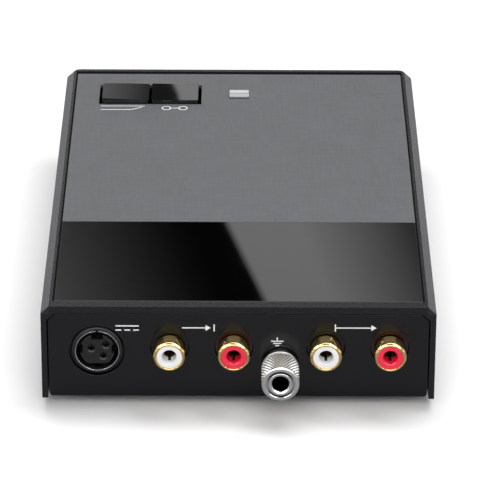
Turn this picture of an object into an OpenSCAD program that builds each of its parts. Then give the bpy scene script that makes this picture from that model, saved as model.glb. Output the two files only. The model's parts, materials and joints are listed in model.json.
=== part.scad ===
// Phono preamp: a small two-channel record-player preamplifier in a shallow metal case.
// The sockets are on the -Y end, the two push keys and the light are near the +Y end.
// X runs to the right when the sockets face the viewer, Z is up, and Z = 0 is under the feet.
// All sizes are in millimetres.

/* [Case] */
// Width of the cover
case_w = 101.6; // [100:0.2:112]
// Length of the cover, from the socket end to the control end
case_l = 155; // [152:1:175]
// Height from the underside of the chassis to the top of the cover
case_h = 26.7; // [26.2:0.1:31]
// Thickness of the cover's side walls and end wall
wall_t = 1.5; // [1.2:0.1:1.8]
// Thickness of the cover's top
top_t = 2.1; // [2:0.1:2.5]
// Leg of the chamfer round the top of the cover
chamfer = 2.1; // [1.6:0.1:2.4]
// Leg of the chamfer inside the cover's long top corners
inner_chamfer = 2; // [1.5:0.1:2.3]
// Radius of the cover's two upright corners
corner_r = 4; // [3.9:0.1:5]
// Height of the rubber feet
foot_h = 3.2; // [2:0.1:5]
// Radius of the rubber feet
foot_r = 6.2; // [5:0.1:7]
// Distance from the case's sides and ends to the centre of each foot
foot_inset = 13; // [11:0.5:15]

/* [Chassis] */
// Thickness of the chassis sheet
chassis_t = 1.5; // [1.2:0.1:1.6]
// Gap between the chassis and the inside of the cover
chassis_gap = 0.3; // [0.2:0.05:0.5]
// How far the socket panel sits back from the end of the cover
panel_recess = 0.4; // [0.2:0.1:1]
// Outer radius of the bend between the bottom and the socket panel
bend_r = 2; // [1.8:0.1:2.2]
// Width of the slanted cut at the panel's lower corners
relief_w = 0.7; // [0.4:0.1:1]
// Height of the slanted cut at the panel's lower corners
relief_h = 2.2; // [1.5:0.1:3]
// Width of the blocks inside the cover that take the case screws
lug_w = 7.6; // [7:0.1:8]
// Length of those blocks
lug_l = 10; // [8:0.5:12]
// Height of the blocks' tops above the underside of the chassis
lug_top = 9; // [8:0.5:11]
// Distance from the socket end to the first pair of case screws
screw_y_near = 42; // [38:1:46]
// Distance from the control end to the second pair of case screws
screw_y_far = 39; // [36:1:42]

/* [Top plates] */
// Depth of the pocket in the cover's top
pocket_depth = 1.1; // [1:0.05:1.2]
// Thickness of the two plates in the pocket
plate_t = 1; // [0.8:0.05:1.1]
// Flat strip between the side chamfer and the pocket
side_strip = 0.8; // [0.6:0.05:1.2]
// Flat strip between the socket end and the pocket
socket_strip = 2.85; // [2:0.05:4]
// Flat strip between the control end's chamfer and the pocket
control_strip = 1.5; // [1.2:0.1:2.5]
// Open gap round the plates
plate_gap = 0.45; // [0.2:0.05:0.6]
// Open gap beyond the plates at the control end
plate_end_gap = 1; // [0.4:0.1:1.2]
// Length of the gloss plate
gloss_l = 46.8; // [30:0.5:60]
// Joint between the two plates
plate_seam = 0.1; // [0.05:0.05:0.3]

/* [Keys] */
// Distance from the cover's left side to the key slot
slot_side = 10.25; // [9.8:0.05:11.8]
// Width of the key slot
slot_w = 29.6; // [28:0.1:31]
// Length of the key slot
slot_l = 13.7; // [13:0.1:15]
// Distance from the control end to the key slot
slot_inset = 13.4; // [12:0.1:15]
// Gap between a key and the slot's side
key_side_gap = 0.95; // [0.4:0.05:1.1]
// Gap between the two keys
key_mid_gap = 0.75; // [0.4:0.05:1]
// Gap between the keys and the slot's edge nearer the sockets
key_near_gap = 0.2; // [0.15:0.05:0.5]
// Gap between the keys and the slot's edge nearer the control end
key_far_gap = 0.6; // [0.3:0.05:0.9]
// How far a key's lower end stands above the plate
key_rise = 1.1; // [0.8:0.05:1.5]
// Extra height at the left end of the filter key
filter_key_lift = 0.6; // [0.1:0.05:0.9]
// Extra height at the right end of the mono key
mono_key_lift = 0.2; // [0.1:0.05:0.9]
// Depth of a key below the plate's surface
key_drop = 2.6; // [2.2:0.1:3]
// Radius of the keys' edge on the control end's side
key_edge_r = 1.9; // [1:0.1:2.2]
// Radius of the keys' upright corners
key_corner_r = 0.6; // [0.4:0.1:1]
// Push travel of a key
key_travel = 2; // [1.5:0.1:2.2]
// Side of the square plunger under a key
plunger_w = 3; // [2.6:0.1:3.4]
// Side of the square body of a push switch
switch_w = 8.5; // [8:0.1:9]
// Height of a push switch above the board
switch_h = 8.6; // [8.2:0.1:9]

/* [Light] */
// Width of the light window
light_w = 5.65; // [5:0.05:7]
// Length of the light window along the case
light_l = 2.3; // [2:0.05:3]
// How far the light window stands above the plate
light_rise = 1.45; // [0.8:0.05:2]
// Distance from the control end to the light window's centre
light_inset = 21.05; // [18:0.1:24]

/* [Board] */
// Height of the spacers under the board
spacer_h = 3.1; // [3:0.1:3.6]
// Thickness of the circuit board
board_t = 1.6; // [1.2:0.1:1.6]
// Distance from the socket end to the first pair of board screws
board_screw_near = 24; // [23:0.5:28]
// Distance from the control end to the second pair of board screws
board_screw_far = 31; // [30:0.5:33]
// Distance of each slide-switch bank from the centre line
bank_x = 16; // [10:0.5:20]
// Distance from the socket end to the slide-switch banks
bank_y = 80; // [70:1:90]
// Travel of each small slider
slider_travel = 1.8; // [1.2:0.1:1.9]

/* [Power socket] */
// Distance from the cover's left side to the power socket's centre
power_inset = 14.4; // [14.2:0.1:15.3]
// Height of the power socket's centre above the underside of the chassis
power_z = 13.6; // [13.5:0.1:13.8]
// Radius of its hole in the panel
power_hole_r = 7.2; // [7:0.05:7.4]
// Radius of its round front
power_front_r = 6.75; // [6.5:0.05:6.9]
// Outer radius of its metal shell
power_shell_r = 5.75; // [5.6:0.05:6]
// Wall of its metal shell
power_shell_t = 0.35; // [0.3:0.05:0.5]
// Radius of its core
power_core_r = 4.5; // [4.4:0.05:4.6]

/* [Signal sockets] */
// Height of the signal sockets above the underside of the chassis
jack_z = 14.7; // [14.5:0.1:15]
// Centre of the input pair, to the left of the centre line
input_x = 9.45; // [9.2:0.05:9.6]
// Centre of the output pair, to the right of the centre line
output_x = 30.75; // [30.4:0.05:31]
// Distance between the two sockets of a pair
pair_pitch = 16.5; // [16:0.1:16.8]
// Radius of a signal socket's hole in the panel
jack_hole_r = 4.95; // [4.9:0.05:5.2]
// Outer radius of a signal socket's metal barrel
barrel_r = 4.15; // [4.1:0.05:4.3]
// Bore radius of the barrel
barrel_bore_r = 3.3; // [3.2:0.05:3.4]
// How far the barrel stands out from the end of the cover
barrel_reach = 5.3; // [4.5:0.1:7]
// Radius of the hole for the plug's centre pin
pin_hole_r = 1.7; // [1.65:0.05:1.8]

/* [Ground terminal] */
// Distance of the ground terminal to the right of the centre line
ground_x = 10.8; // [10.5:0.1:11]
// Height of the ground terminal above the underside of the chassis
ground_z = 9.6; // [9.4:0.1:9.8]
// Outer radius of the ground nut
ground_nut_r = 4.9; // [4.8:0.05:5]
// Length of the ground nut
ground_nut_l = 8.8; // [7:0.1:11]
// Outer radius of the ground post
ground_post_r = 3.2; // [3:0.05:3.3]
// Radius of the test-plug bore in the ground post
ground_bore_r = 2.05; // [2:0.01:2.2]
// Thickness of the ground post's collar
ground_collar_t = 1.2; // [1:0.1:1.5]
// Thickness of the ground washer
ground_washer_t = 0.7; // [0.5:0.1:1]

/* [Hidden] */
$fn = 64;
fit_gap = 0.05;
cut = 1;

// Overall places
post_reach = ground_collar_t + ground_washer_t + ground_nut_l - panel_recess;
socket_end = (post_reach - case_l) / 2;
pocket_floor = case_h - pocket_depth;
plate_top = pocket_floor + plate_t;
inside_w = case_w / 2 - wall_t;
inside_top = case_h - top_t;

// Chassis
chassis_w = inside_w - chassis_gap;
chassis_far = case_l - wall_t - chassis_gap;
chassis_top = inside_top - chassis_gap;
chassis_corner = inner_chamfer - (2 - sqrt(2)) * chassis_gap;
panel_back = panel_recess + chassis_t;

// Case screws (countersunk, 3 mm)
screw_r = 1.5;
screw_head_r = 2.8;
screw_head_h = screw_head_r - screw_r;
screw_l = 7.5;
screw_hole_r = 1.6;
lug_tip = inside_w - lug_w;
case_screw_x = lug_tip + 3;
case_screw_ys = [screw_y_near, case_l - screw_y_far];

// Top plates
pocket_w = case_w / 2 - chamfer - side_strip;
pocket_far = case_l - chamfer - control_strip;
plate_w = pocket_w - plate_gap;
gloss_start = socket_strip + plate_gap;
matte_start = gloss_start + gloss_l + plate_seam;
matte_end = pocket_far - plate_end_gap;

// Keys
slot_far = case_l - slot_inset;
slot_near = slot_far - slot_l;
slot_left = case_w / 2 - slot_side;
slot_right = slot_w - slot_left;
key_w = (slot_w - 2 * key_side_gap - key_mid_gap) / 2;
key_l = slot_l - key_near_gap - key_far_gap;
filter_key_x = key_side_gap - slot_left;
mono_key_x = filter_key_x + key_w + key_mid_gap;
key_y = slot_near + key_near_gap;
key_bottom = plate_top - key_drop;
key_socket = 1.6;

// Circuit board
board_bottom = chassis_t + spacer_h;
board_top = board_bottom + board_t;
board_w = inside_w - 5.1;
board_near = panel_back + 0.5;
board_far = case_l - wall_t - 3;
board_screw_x = board_w - 6.2;
board_screw_ys = [board_screw_near, case_l - board_screw_far];
spacer_r = 2.75;
spacer_tail_r = 2.1;
pan_head_r = 2.75;
pan_head_h = 2;

// Push switches
switch_top = board_top + switch_h;
plunger_grip = 2.4;
plunger_bottom = switch_top - plunger_grip;
spring_l = key_travel + 1.8;
well_floor = plunger_bottom - spring_l;
spring_r = 1;
spring_wire_r = 0.15;
spring_turns = 5;
switch_y = key_y + key_l / 2;

// Light
light_y = case_l - light_inset;
led_w = 3;
led_l = 2.6;
led_h = 1.6;
led_lens_h = 0.4;

// Slide-switch banks under the board
bank_count = 4;
bank_pitch = 2.54;
bank_w = bank_count * bank_pitch + 1.5;
bank_l = 6.5;
bank_h = 3.5;
bank_face = board_bottom - bank_h;
window_gap = 0.4;
slider_w = 1.1;
slider_l = 1.3;
slider_depth = 0.9;
slider_rise = 0.7;
slider_gap = 0.12;

// Signal sockets
jack_body_w = 10;
jack_body_l = 12.5;
jack_nose_r = jack_hole_r - 0.15;
jack_nose_back = panel_recess;
jack_tenon_r = barrel_r - 0.3;
jack_tenon_end = 5.2;
pin_hole_l = 3.3;
contact_r = 2;
contact_l = 8;
core_front = 0.3 - barrel_reach;
contact_start = core_front + pin_hole_l + 0.2;

// Power socket
power_x = case_w / 2 - power_inset;
power_front = panel_recess + 0.85;
power_body_w = 7.2;
power_body_l = 13;
power_well_end = power_front + 8.5;
power_pins = [[-1.55, 0.44], [2.26, 1.43], [1.52, -1.77]];
power_pin_r = 0.75;

// Ground terminal
ground_shank_r = 2.45;
ground_front = -post_reach;
ground_washer_back = panel_recess - ground_collar_t;
ground_nut_back = ground_washer_back - ground_washer_t;
ground_collar_r = 4.3;
ground_tag_t = 0.6;
ground_lock_t = 0.8;
ground_hex_t = 3;
ground_hex_r = 4.62;
ground_tag_l = 8.5;
ground_wire_r = 0.6;
ground_wire_z = 7;
ground_wire_y = 20;
ground_wire_bend = 3;
ground_notch = 6;

// Components on the board
leg_pitch = 2.54;
leg_w = 0.6;
regulator_x = 20.7 - board_w;
regulator_y = 33;
regulator_pitch = 15;
regulator_w = 10;
regulator_t = 4.5;
regulator_lift = 1;
regulator_h = 9;
regulator_tab_t = 1.25;
regulator_tab_h = 6.3;
regulator_hole_r = 1.8;
can_x = 13.7 - board_w;
can_y = 66;
can_pitch_x = 11;
can_pitch_y = 12;
can_r = 4;
can_h = 12;
can_edge = 0.4;
film_x = board_w - 16.7;
film_y = 50;
film_pitch_x = 11;
film_pitch_y = 10.6;
film_w = 7.2;
film_t = 4.5;
film_h = 8;
chip_x = 1;
chip_y = 78;
chip_pitch_x = 14;
chip_pitch_y = 44;
chip_w = 6.4;
chip_l = 9.8;
chip_lift = 0.5;
chip_h = 3.3;
chip_notch_r = 0.8;
resistor_x = board_w - 16.2;
resistor_y = 98;
resistor_pitch_x = 12;
resistor_pitch_y = 6;
resistor_r = 1.2;
resistor_l = 6.4;
resistor_lift = 1.6;
lead_r = 0.3;
lead_span = 9.2;

// ---------------------------------------------------------------- helpers

// Moves its children from the case's own frame, which starts at the socket end of the cover and
// at the underside of the chassis, to the frame of the whole object.
module in_case() {
    translate([0, socket_end, foot_h])
        children();
}

// Box between two corners.
module box(from, to) {
    translate(from)
        cube(to - from);
}

// Round bar along Y from y0 to y1, centred on x and z. A second radius makes it a cone.
module bar_y(x, z, y0, y1, r, r_end = 0) {
    translate([x, y0, z])
        rotate([-90, 0, 0])
            cylinder(h = y1 - y0, r1 = r, r2 = r_end > 0 ? r_end : r);
}

// Round bar along Z from z0 to z1.
module bar_z(x, y, z0, z1, r, r_end = 0) {
    translate([x, y, z0])
        cylinder(h = z1 - z0, r1 = r, r2 = r_end > 0 ? r_end : r);
}

// Flat outline from y0 to y1 with round corners at the y1 end only.
module plan_outline(half_w, y0, y1, r) {
    translate([-half_w, y0])
        square([2 * half_w, y1 - y0 - r]);
    translate([r - half_w, y1 - r - cut])
        square([2 * (half_w - r), r + cut]);
    for (side = [-1, 1])
        translate([side * (half_w - r), y1 - r])
            circle(r);
}

// Rectangle with four round corners, from its lower left corner.
module round_rect(w, l, r) {
    translate([r, 0])
        square([w - 2 * r, l]);
    translate([0, r])
        square([w, l - 2 * r]);
    for (x = [r, w - r])
        for (y = [r, l - r])
            translate([x, y])
                circle(r);
}

// Block with round upright corners at the y1 end and a chamfer round its top on three sides.
module soft_block(half_w, y0, y1, z0, z1, r, leg) {
    shoulder = z1 - leg;
    translate([0, 0, z0])
        linear_extrude(shoulder - z0)
            plan_outline(half_w, y0, y1, r);
    translate([0, y1 - r, 0])
        rotate([90, 0, 0])
            linear_extrude(y1 - r - y0)
                polygon([
                    [-half_w, shoulder - cut], [half_w, shoulder - cut], [half_w, shoulder],
                    [half_w - leg, z1], [leg - half_w, z1], [-half_w, shoulder]
                ]);
    translate([r - half_w, 0, 0])
        rotate([90, 0, 90])
            linear_extrude(2 * (half_w - r))
                polygon([
                    [y1 - r - cut, shoulder - cut], [y1, shoulder - cut], [y1, shoulder],
                    [y1 - leg, z1], [y1 - r - cut, z1]
                ]);
    for (side = [-1, 1])
        bar_z(side * (half_w - r), y1 - r, shoulder, z1, r, r - leg);
}

// ---------------------------------------------------------------- case

// The cover: top, two side walls and the control end's wall, open at the socket end.
module top_cover() {
    color("#3b3e40")
        in_case()
            difference() {
                union() {
                    difference() {
                        soft_block(case_w / 2, 0, case_l, 0, case_h, corner_r, chamfer);
                        soft_block(
                            inside_w, -cut, case_l - wall_t, -cut, inside_top,
                            corner_r - wall_t, inner_chamfer
                        );
                    }
                    for (side = [-1, 1])
                        for (y = case_screw_ys)
                            cover_lug(side, y);
                }
                box([-pocket_w, socket_strip, pocket_floor], [pocket_w, pocket_far, case_h + cut]);
                box([-slot_left, slot_near, 0], [slot_right, slot_far, case_h]);
                light_hole(0, case_h);
                for (side = [-1, 1])
                    for (y = case_screw_ys)
                        bar_z(side * case_screw_x, y, 0, lug_top - 1, screw_r + fit_gap);
            }
}

// One block inside the cover that takes a case screw.
module cover_lug(side, y) {
    translate([side * (lug_tip + (lug_w + wall_t / 2) / 2), y, (chassis_t + lug_top) / 2])
        cube([lug_w + wall_t / 2, lug_l, lug_top - chassis_t], center = true);
}

// Opening for the light window, from z0 to z1.
module light_hole(z0, z1) {
    box(
        [-light_w / 2 - fit_gap, light_y - light_l / 2 - fit_gap, z0],
        [light_w / 2 + fit_gap, light_y + light_l / 2 + fit_gap, z1]
    );
}

// The chassis: the bottom and the socket panel, folded from one sheet.
module chassis() {
    color("#202123")
        in_case()
            difference() {
                intersection() {
                    chassis_fold();
                    chassis_front_outline();
                    linear_extrude(case_h)
                        plan_outline(chassis_w, 0, chassis_far, corner_r - wall_t - chassis_gap);
                }
                panel_holes();
                bottom_holes();
            }
}

// The folded sheet's section, drawn along X.
module chassis_fold() {
    translate([-case_w / 2, 0, 0])
        rotate([90, 0, 90])
            linear_extrude(case_w)
                union() {
                    translate([panel_recess + bend_r, 0])
                        square([case_l, chassis_t]);
                    translate([panel_recess, bend_r])
                        square([chassis_t, case_h]);
                    intersection() {
                        translate([panel_recess, 0])
                            square(bend_r);
                        translate([panel_recess + bend_r, bend_r])
                            difference() {
                                circle(bend_r);
                                circle(bend_r - chassis_t);
                            }
                    }
                }
}

// The chassis as seen from the socket end.
module chassis_front_outline() {
    translate([0, case_l, 0])
        rotate([90, 0, 0])
            linear_extrude(case_l)
                polygon([
                    [relief_w - chassis_w, 0], [chassis_w - relief_w, 0],
                    [chassis_w, relief_h], [chassis_w, chassis_top - chassis_corner],
                    [chassis_w - chassis_corner, chassis_top],
                    [chassis_corner - chassis_w, chassis_top],
                    [-chassis_w, chassis_top - chassis_corner], [-chassis_w, relief_h]
                ]);
}

// Holes in the socket panel.
module panel_holes() {
    bar_y(-power_x, power_z, 0, panel_back + cut, power_hole_r);
    for (x = jack_xs())
        bar_y(x, jack_z, 0, panel_back + cut, jack_hole_r);
    bar_y(ground_x, ground_z, 0, panel_back + cut, ground_shank_r + fit_gap);
}

// Holes in the bottom: case screws, spacers and the two windows to the slide switches.
module bottom_holes() {
    for (side = [-1, 1]) {
        for (y = case_screw_ys) {
            bar_z(side * case_screw_x, y, -cut, chassis_t + cut, screw_hole_r);
            bar_z(
                side * case_screw_x, y, 0, screw_head_h + fit_gap,
                screw_head_r + fit_gap, screw_r + fit_gap
            );
        }
        for (y = board_screw_ys)
            bar_z(side * board_screw_x, y, -cut, chassis_t + cut, spacer_tail_r);
        box(
            [side * bank_x - bank_w / 2 - window_gap, bank_y - bank_l / 2 - window_gap, -cut],
            [side * bank_x + bank_w / 2 + window_gap, bank_y + bank_l / 2 + window_gap,
                chassis_t + cut]
        );
    }
}

// The matte plate on the control end's part of the pocket.
module matte_plate() {
    color("#707274")
        in_case()
            difference() {
                box([-plate_w, matte_start, pocket_floor], [plate_w, matte_end, plate_top]);
                box([-slot_left, slot_near, 0], [slot_right, slot_far, case_h]);
                light_hole(0, case_h);
            }
}

// The gloss plate on the socket end's part of the pocket.
module gloss_plate() {
    color("#0c0c0d")
        in_case()
            box(
                [-plate_w, gloss_start, pocket_floor],
                [plate_w, gloss_start + gloss_l, plate_top]
            );
}

// Four countersunk screws that hold the chassis to the cover.
module case_screws() {
    color("#55585a")
        in_case()
            for (side = [-1, 1])
                for (y = case_screw_ys)
                    difference() {
                        union() {
                            bar_z(
                                side * case_screw_x, y, 0.05, 0.05 + screw_head_h,
                                screw_head_r, screw_r
                            );
                            bar_z(side * case_screw_x, y, 0.05 + screw_head_h, screw_l, screw_r);
                        }
                        translate([side * case_screw_x, y, -cut])
                            cylinder(h = cut + 1.1, r = 1.15, $fn = 6);
                    }
}

// One rubber foot under the chassis.
module foot(side_x, y) {
    color("#161616")
        translate([0, socket_end, 0])
            translate([side_x * (case_w / 2 - foot_inset), y, 0])
                rotate_extrude()
                    polygon([
                        [0, 0], [foot_r - 1.8, 0], [foot_r - 1, 0.3], [foot_r - 0.4, 1],
                        [foot_r, foot_h], [0, foot_h]
                    ]);
}

// ---------------------------------------------------------------- board

// The circuit board, cut away round the ground terminal and the cover's screw blocks.
module main_board() {
    color("#1d5b34")
        in_case()
            difference() {
                box([-board_w, board_near, board_bottom], [board_w, board_far, board_top]);
                box(
                    [ground_x - ground_notch, 0, 0],
                    [ground_x + ground_notch, board_near + ground_notch, case_h]
                );
                for (side = [-1, 1]) {
                    for (y = case_screw_ys)
                        translate([side * (lug_tip - 0.5 + case_w / 2), y, board_bottom])
                            cube([case_w, lug_l + 1, 4 * board_t], center = true);
                    for (y = board_screw_ys)
                        bar_z(side * board_screw_x, y, 0, case_h, screw_hole_r);
                }
            }
}

// Four threaded spacers pressed into the chassis.
module board_spacers() {
    color("#c3c4c2")
        in_case()
            for (side = [-1, 1])
                for (y = board_screw_ys)
                    difference() {
                        union() {
                            bar_z(side * board_screw_x, y, 0, chassis_t, spacer_tail_r);
                            bar_z(side * board_screw_x, y, chassis_t, board_bottom, spacer_r);
                        }
                        bar_z(side * board_screw_x, y, 1, board_bottom + cut, screw_r);
                    }
}

// Four pan-head screws that hold the board on its spacers.
module board_screws() {
    color("#b9bab8")
        in_case()
            for (side = [-1, 1])
                for (y = board_screw_ys)
                    difference() {
                        union() {
                            bar_z(side * board_screw_x, y, 1.5, board_top, screw_r);
                            bar_z(
                                side * board_screw_x, y, board_top, board_top + pan_head_h,
                                pan_head_r
                            );
                        }
                        translate([side * board_screw_x, y, board_top + pan_head_h - 1])
                            cross_drive();
                    }
}

// Cross-shaped recess of a pan head.
module cross_drive() {
    for (turn = [0, 90])
        rotate([0, 0, turn])
            translate([-1.5, -0.3, 0])
                cube([3, 0.6, 2]);
}

// ---------------------------------------------------------------- power socket

// Black housing, which stands on the board and shows its round front through the panel.
module power_socket_body() {
    color("#141414")
        in_case()
            difference() {
                union() {
                    box(
                        [-power_x - power_body_w, panel_back, board_top],
                        [power_body_w - power_x, panel_back + power_body_l,
                            power_z + power_body_w]
                    );
                    bar_y(-power_x, power_z, power_front, panel_back + cut, power_front_r);
                }
                bar_y(-power_x, power_z, power_front - cut, power_well_end, power_shell_r);
                box(
                    [-power_x - 1.6, 0, power_z - power_front_r - cut],
                    [1.6 - power_x, panel_back, power_z - power_front_r + 0.8]
                );
            }
}

// Thin metal shell that lines the housing, with its seam at the top.
module power_socket_shell() {
    shell_front = power_front - 0.25;
    color("#c9cac8")
        in_case()
            difference() {
                bar_y(-power_x, power_z, shell_front, power_well_end, power_shell_r);
                bar_y(
                    -power_x, power_z, shell_front - cut, power_well_end + cut,
                    power_shell_r - power_shell_t
                );
                box(
                    [-power_x - 0.2, shell_front - cut, power_z],
                    [0.2 - power_x, power_well_end + cut, power_z + power_shell_r + cut]
                );
            }
}

// Black core with its keyways and three contact holes.
module power_socket_core() {
    core_start = power_front + 0.35;
    color("#1a1a1a")
        in_case()
            difference() {
                bar_y(-power_x, power_z, core_start, power_well_end, power_core_r);
                translate([-power_x, 0, power_z]) {
                    box([-0.9, 0, power_core_r - 1.3], [0.9, power_well_end - 2, power_core_r + cut]);
                    box([-1.8, 0, -power_core_r - cut], [1.8, power_well_end - 2, 0.9 - power_core_r]);
                    for (side = [-1, 1])
                        translate([side * power_core_r, 0, 0])
                            box([-0.7, 0, -0.6], [0.7, power_well_end - 2, 0.6]);
                    for (pin = power_pins)
                        bar_y(pin[0], pin[1], 0, power_well_end - 1, power_pin_r);
                }
            }
}

// Three tube contacts inside the core.
module power_socket_contacts() {
    color("#d8c58a")
        in_case()
            for (pin = power_pins)
                difference() {
                    bar_y(
                        pin[0] - power_x, pin[1] + power_z,
                        power_front + 1.6, power_well_end - 1, power_pin_r
                    );
                    bar_y(
                        pin[0] - power_x, pin[1] + power_z,
                        power_front, power_well_end - 2, power_pin_r - 0.2
                    );
                }
}

// ---------------------------------------------------------------- signal sockets

// Centres of the four signal sockets, from left to right.
function jack_xs() = [
    -input_x - pair_pitch / 2, pair_pitch / 2 - input_x,
    output_x - pair_pitch / 2, output_x + pair_pitch / 2
];

// Coloured moulding: a block on the board, a nose in the panel's hole and the insulating core.
module jack_body(index, tint) {
    x = jack_xs()[index];
    color(tint)
        in_case()
            difference() {
                union() {
                    box(
                        [x - jack_body_w / 2, panel_back, board_top],
                        [x + jack_body_w / 2, panel_back + jack_body_l,
                            jack_z + jack_body_w / 2]
                    );
                    bar_y(x, jack_z, jack_nose_back, panel_back + cut, jack_nose_r);
                    bar_y(x, jack_z, core_front, panel_back + cut, barrel_bore_r);
                }
                difference() {
                    bar_y(x, jack_z, jack_nose_back - cut, jack_tenon_end, jack_tenon_r);
                    bar_y(x, jack_z, core_front - cut, jack_tenon_end + cut, barrel_bore_r);
                }
                bar_y(x, jack_z, core_front - cut, contact_start, pin_hole_r);
                bar_y(x, jack_z, core_front, core_front + 0.6, pin_hole_r + 0.6, pin_hole_r);
                bar_y(x, jack_z, contact_start - 0.2, contact_start + contact_l, contact_r);
            }
}

// Plated barrel that the plug's shell grips, held by a thinner tail inside the moulding.
module jack_barrel(index) {
    x = jack_xs()[index];
    rim = 0.35;
    color("#d9a441")
        in_case()
            difference() {
                union() {
                    bar_y(x, jack_z, -barrel_reach, rim - barrel_reach, barrel_r - rim, barrel_r);
                    bar_y(x, jack_z, rim - barrel_reach, jack_nose_back, barrel_r);
                    bar_y(x, jack_z, jack_nose_back, jack_tenon_end, jack_tenon_r);
                }
                bar_y(x, jack_z, -barrel_reach - cut, jack_tenon_end + cut, barrel_bore_r);
            }
}

// Slotted tube that grips the plug's centre pin.
module jack_contact(index) {
    x = jack_xs()[index];
    color("#e0b45a")
        in_case()
            difference() {
                bar_y(x, jack_z, contact_start, contact_start + contact_l, contact_r);
                bar_y(x, jack_z, contact_start - cut, contact_start + contact_l - cut, pin_hole_r);
                for (turn = [45, 135])
                    translate([x, contact_start - cut, jack_z])
                        rotate([0, turn, 0])
                            translate([-contact_r - cut, 0, -0.15])
                                cube([2 * (contact_r + cut), 5, 0.3]);
            }
}

// ---------------------------------------------------------------- ground terminal

// Post with a collar outside the panel, a threaded shank through it and a test-plug bore.
module ground_post() {
    color("#c9c7c2")
        in_case()
            difference() {
                union() {
                    bar_y(ground_x, ground_z, ground_front, ground_washer_back, ground_post_r);
                    bar_y(ground_x, ground_z, ground_washer_back, panel_recess, ground_collar_r);
                    bar_y(ground_x, ground_z, panel_recess, panel_back + 5.5, ground_shank_r);
                }
                bar_y(ground_x, ground_z, ground_front - cut, ground_front + 9.2, ground_bore_r);
                bar_y(
                    ground_x, ground_z, ground_front, ground_front + 0.55,
                    ground_bore_r + 0.55, ground_bore_r
                );
            }
}

// Knurled nut that clamps a ground wire against the washer.
module ground_nut() {
    edge = 0.5;
    bore_r = ground_post_r + fit_gap;
    mouth_r = ground_post_r + 0.5;
    color("#c9c7c2")
        in_case()
            translate([ground_x, ground_front, ground_z])
                rotate([-90, 0, 0])
                    rotate_extrude()
                        polygon([
                            [mouth_r, 0], [ground_nut_r - edge, 0], [ground_nut_r, edge],
                            [ground_nut_r, ground_nut_l - edge],
                            [ground_nut_r - edge, ground_nut_l], [bore_r, ground_nut_l],
                            [bore_r, 3], [mouth_r, 3]
                        ]);
}

// Loose washer that travels with the nut.
module ground_washer() {
    color("#bdbbb6")
        in_case()
            difference() {
                bar_y(ground_x, ground_z, ground_nut_back, ground_washer_back, ground_nut_r);
                bar_y(
                    ground_x, ground_z, ground_nut_back - cut, ground_washer_back + cut,
                    ground_post_r + fit_gap
                );
            }
}

// Solder tag behind the panel, with its tail up.
module ground_tag() {
    color("#c8c8c4")
        in_case()
            difference() {
                union() {
                    bar_y(ground_x, ground_z, panel_back, panel_back + ground_tag_t, ground_collar_r);
                    box(
                        [ground_x - 1.5, panel_back, ground_z + 3],
                        [ground_x + 1.5, panel_back + ground_tag_t, ground_z + ground_tag_l]
                    );
                }
                bar_y(
                    ground_x, ground_z, panel_back - cut, panel_back + ground_tag_t + cut,
                    ground_shank_r
                );
            }
}

// Split lock washer behind the tag.
module ground_lock_washer() {
    start = panel_back + ground_tag_t;
    color("#b0b0ac")
        in_case()
            difference() {
                bar_y(ground_x, ground_z, start, start + ground_lock_t, 4);
                bar_y(ground_x, ground_z, start - cut, start + ground_lock_t + cut, ground_shank_r);
                box([ground_x - 0.4, start - cut, ground_z], [ground_x + 0.4, start + 2, ground_z + 5]);
            }
}

// Hexagon nut behind the lock washer.
module ground_hex_nut() {
    start = panel_back + ground_tag_t + ground_lock_t;
    color("#c3c3bf")
        in_case()
            difference() {
                translate([ground_x, start, ground_z])
                    rotate([-90, 0, 0])
                        cylinder(h = ground_hex_t, r = ground_hex_r, $fn = 6);
                bar_y(ground_x, ground_z, start - cut, start + ground_hex_t + cut, ground_shank_r);
            }
}

// Insulated wire from the solder tag, over the nut and down to the board.
module ground_wire() {
    start = panel_back + ground_tag_t;
    bend = ground_wire_bend;
    wire_z = ground_z + ground_wire_z;
    color("#1f8a3c")
        in_case() {
            bar_y(ground_x, wire_z, start, ground_wire_y - bend, ground_wire_r);
            translate([ground_x, ground_wire_y - bend, wire_z - bend])
                rotate([90, 0, 90])
                    rotate_extrude(angle = 90)
                        translate([bend, 0])
                            circle(ground_wire_r);
            bar_z(ground_x, ground_wire_y, board_top, wire_z - bend, ground_wire_r);
        }
}

// ---------------------------------------------------------------- keys

// Key cap with a slightly sloping top, drawn from its left end at x.
module key_cap(x, rise_left, rise_right) {
    tallest = max(rise_left, rise_right);
    top = plate_top + tallest;
    color("#17181a")
        in_case()
            difference() {
                intersection() {
                    translate([x, key_y, key_bottom])
                        linear_extrude(key_drop + tallest)
                            round_rect(key_w, key_l, key_corner_r);
                    translate([x, key_y + key_l, 0])
                        rotate([90, 0, 0])
                            linear_extrude(key_l)
                                polygon([
                                    [0, key_bottom], [key_w, key_bottom],
                                    [key_w, plate_top + rise_right], [0, plate_top + rise_left]
                                ]);
                    key_side_profile(x, top);
                }
                plunger_prism(x + key_w / 2, key_bottom - cut, key_bottom + key_socket);
            }
}

// A key's side view, round along its top edge at the control end's side.
module key_side_profile(x, top) {
    far = key_y + key_l;
    translate([x, 0, 0])
        rotate([90, 0, 90])
            linear_extrude(key_w)
                union() {
                    translate([key_y, key_bottom])
                        square([key_l - key_edge_r, top - key_bottom]);
                    translate([far - key_edge_r - cut, key_bottom])
                        square([key_edge_r + cut, top - key_bottom - key_edge_r]);
                    translate([far - key_edge_r, top - key_edge_r])
                        circle(key_edge_r);
                }
}

// Square prism centred on a switch.
module plunger_prism(x, z0, z1) {
    box(
        [x - plunger_w / 2, switch_y - plunger_w / 2, z0],
        [x + plunger_w / 2, switch_y + plunger_w / 2, z1]
    );
}

// Plunger that joins a key to its switch.
module key_plunger(x) {
    color("#e8e6de")
        in_case()
            plunger_prism(x, plunger_bottom, key_bottom + key_socket);
}

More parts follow.
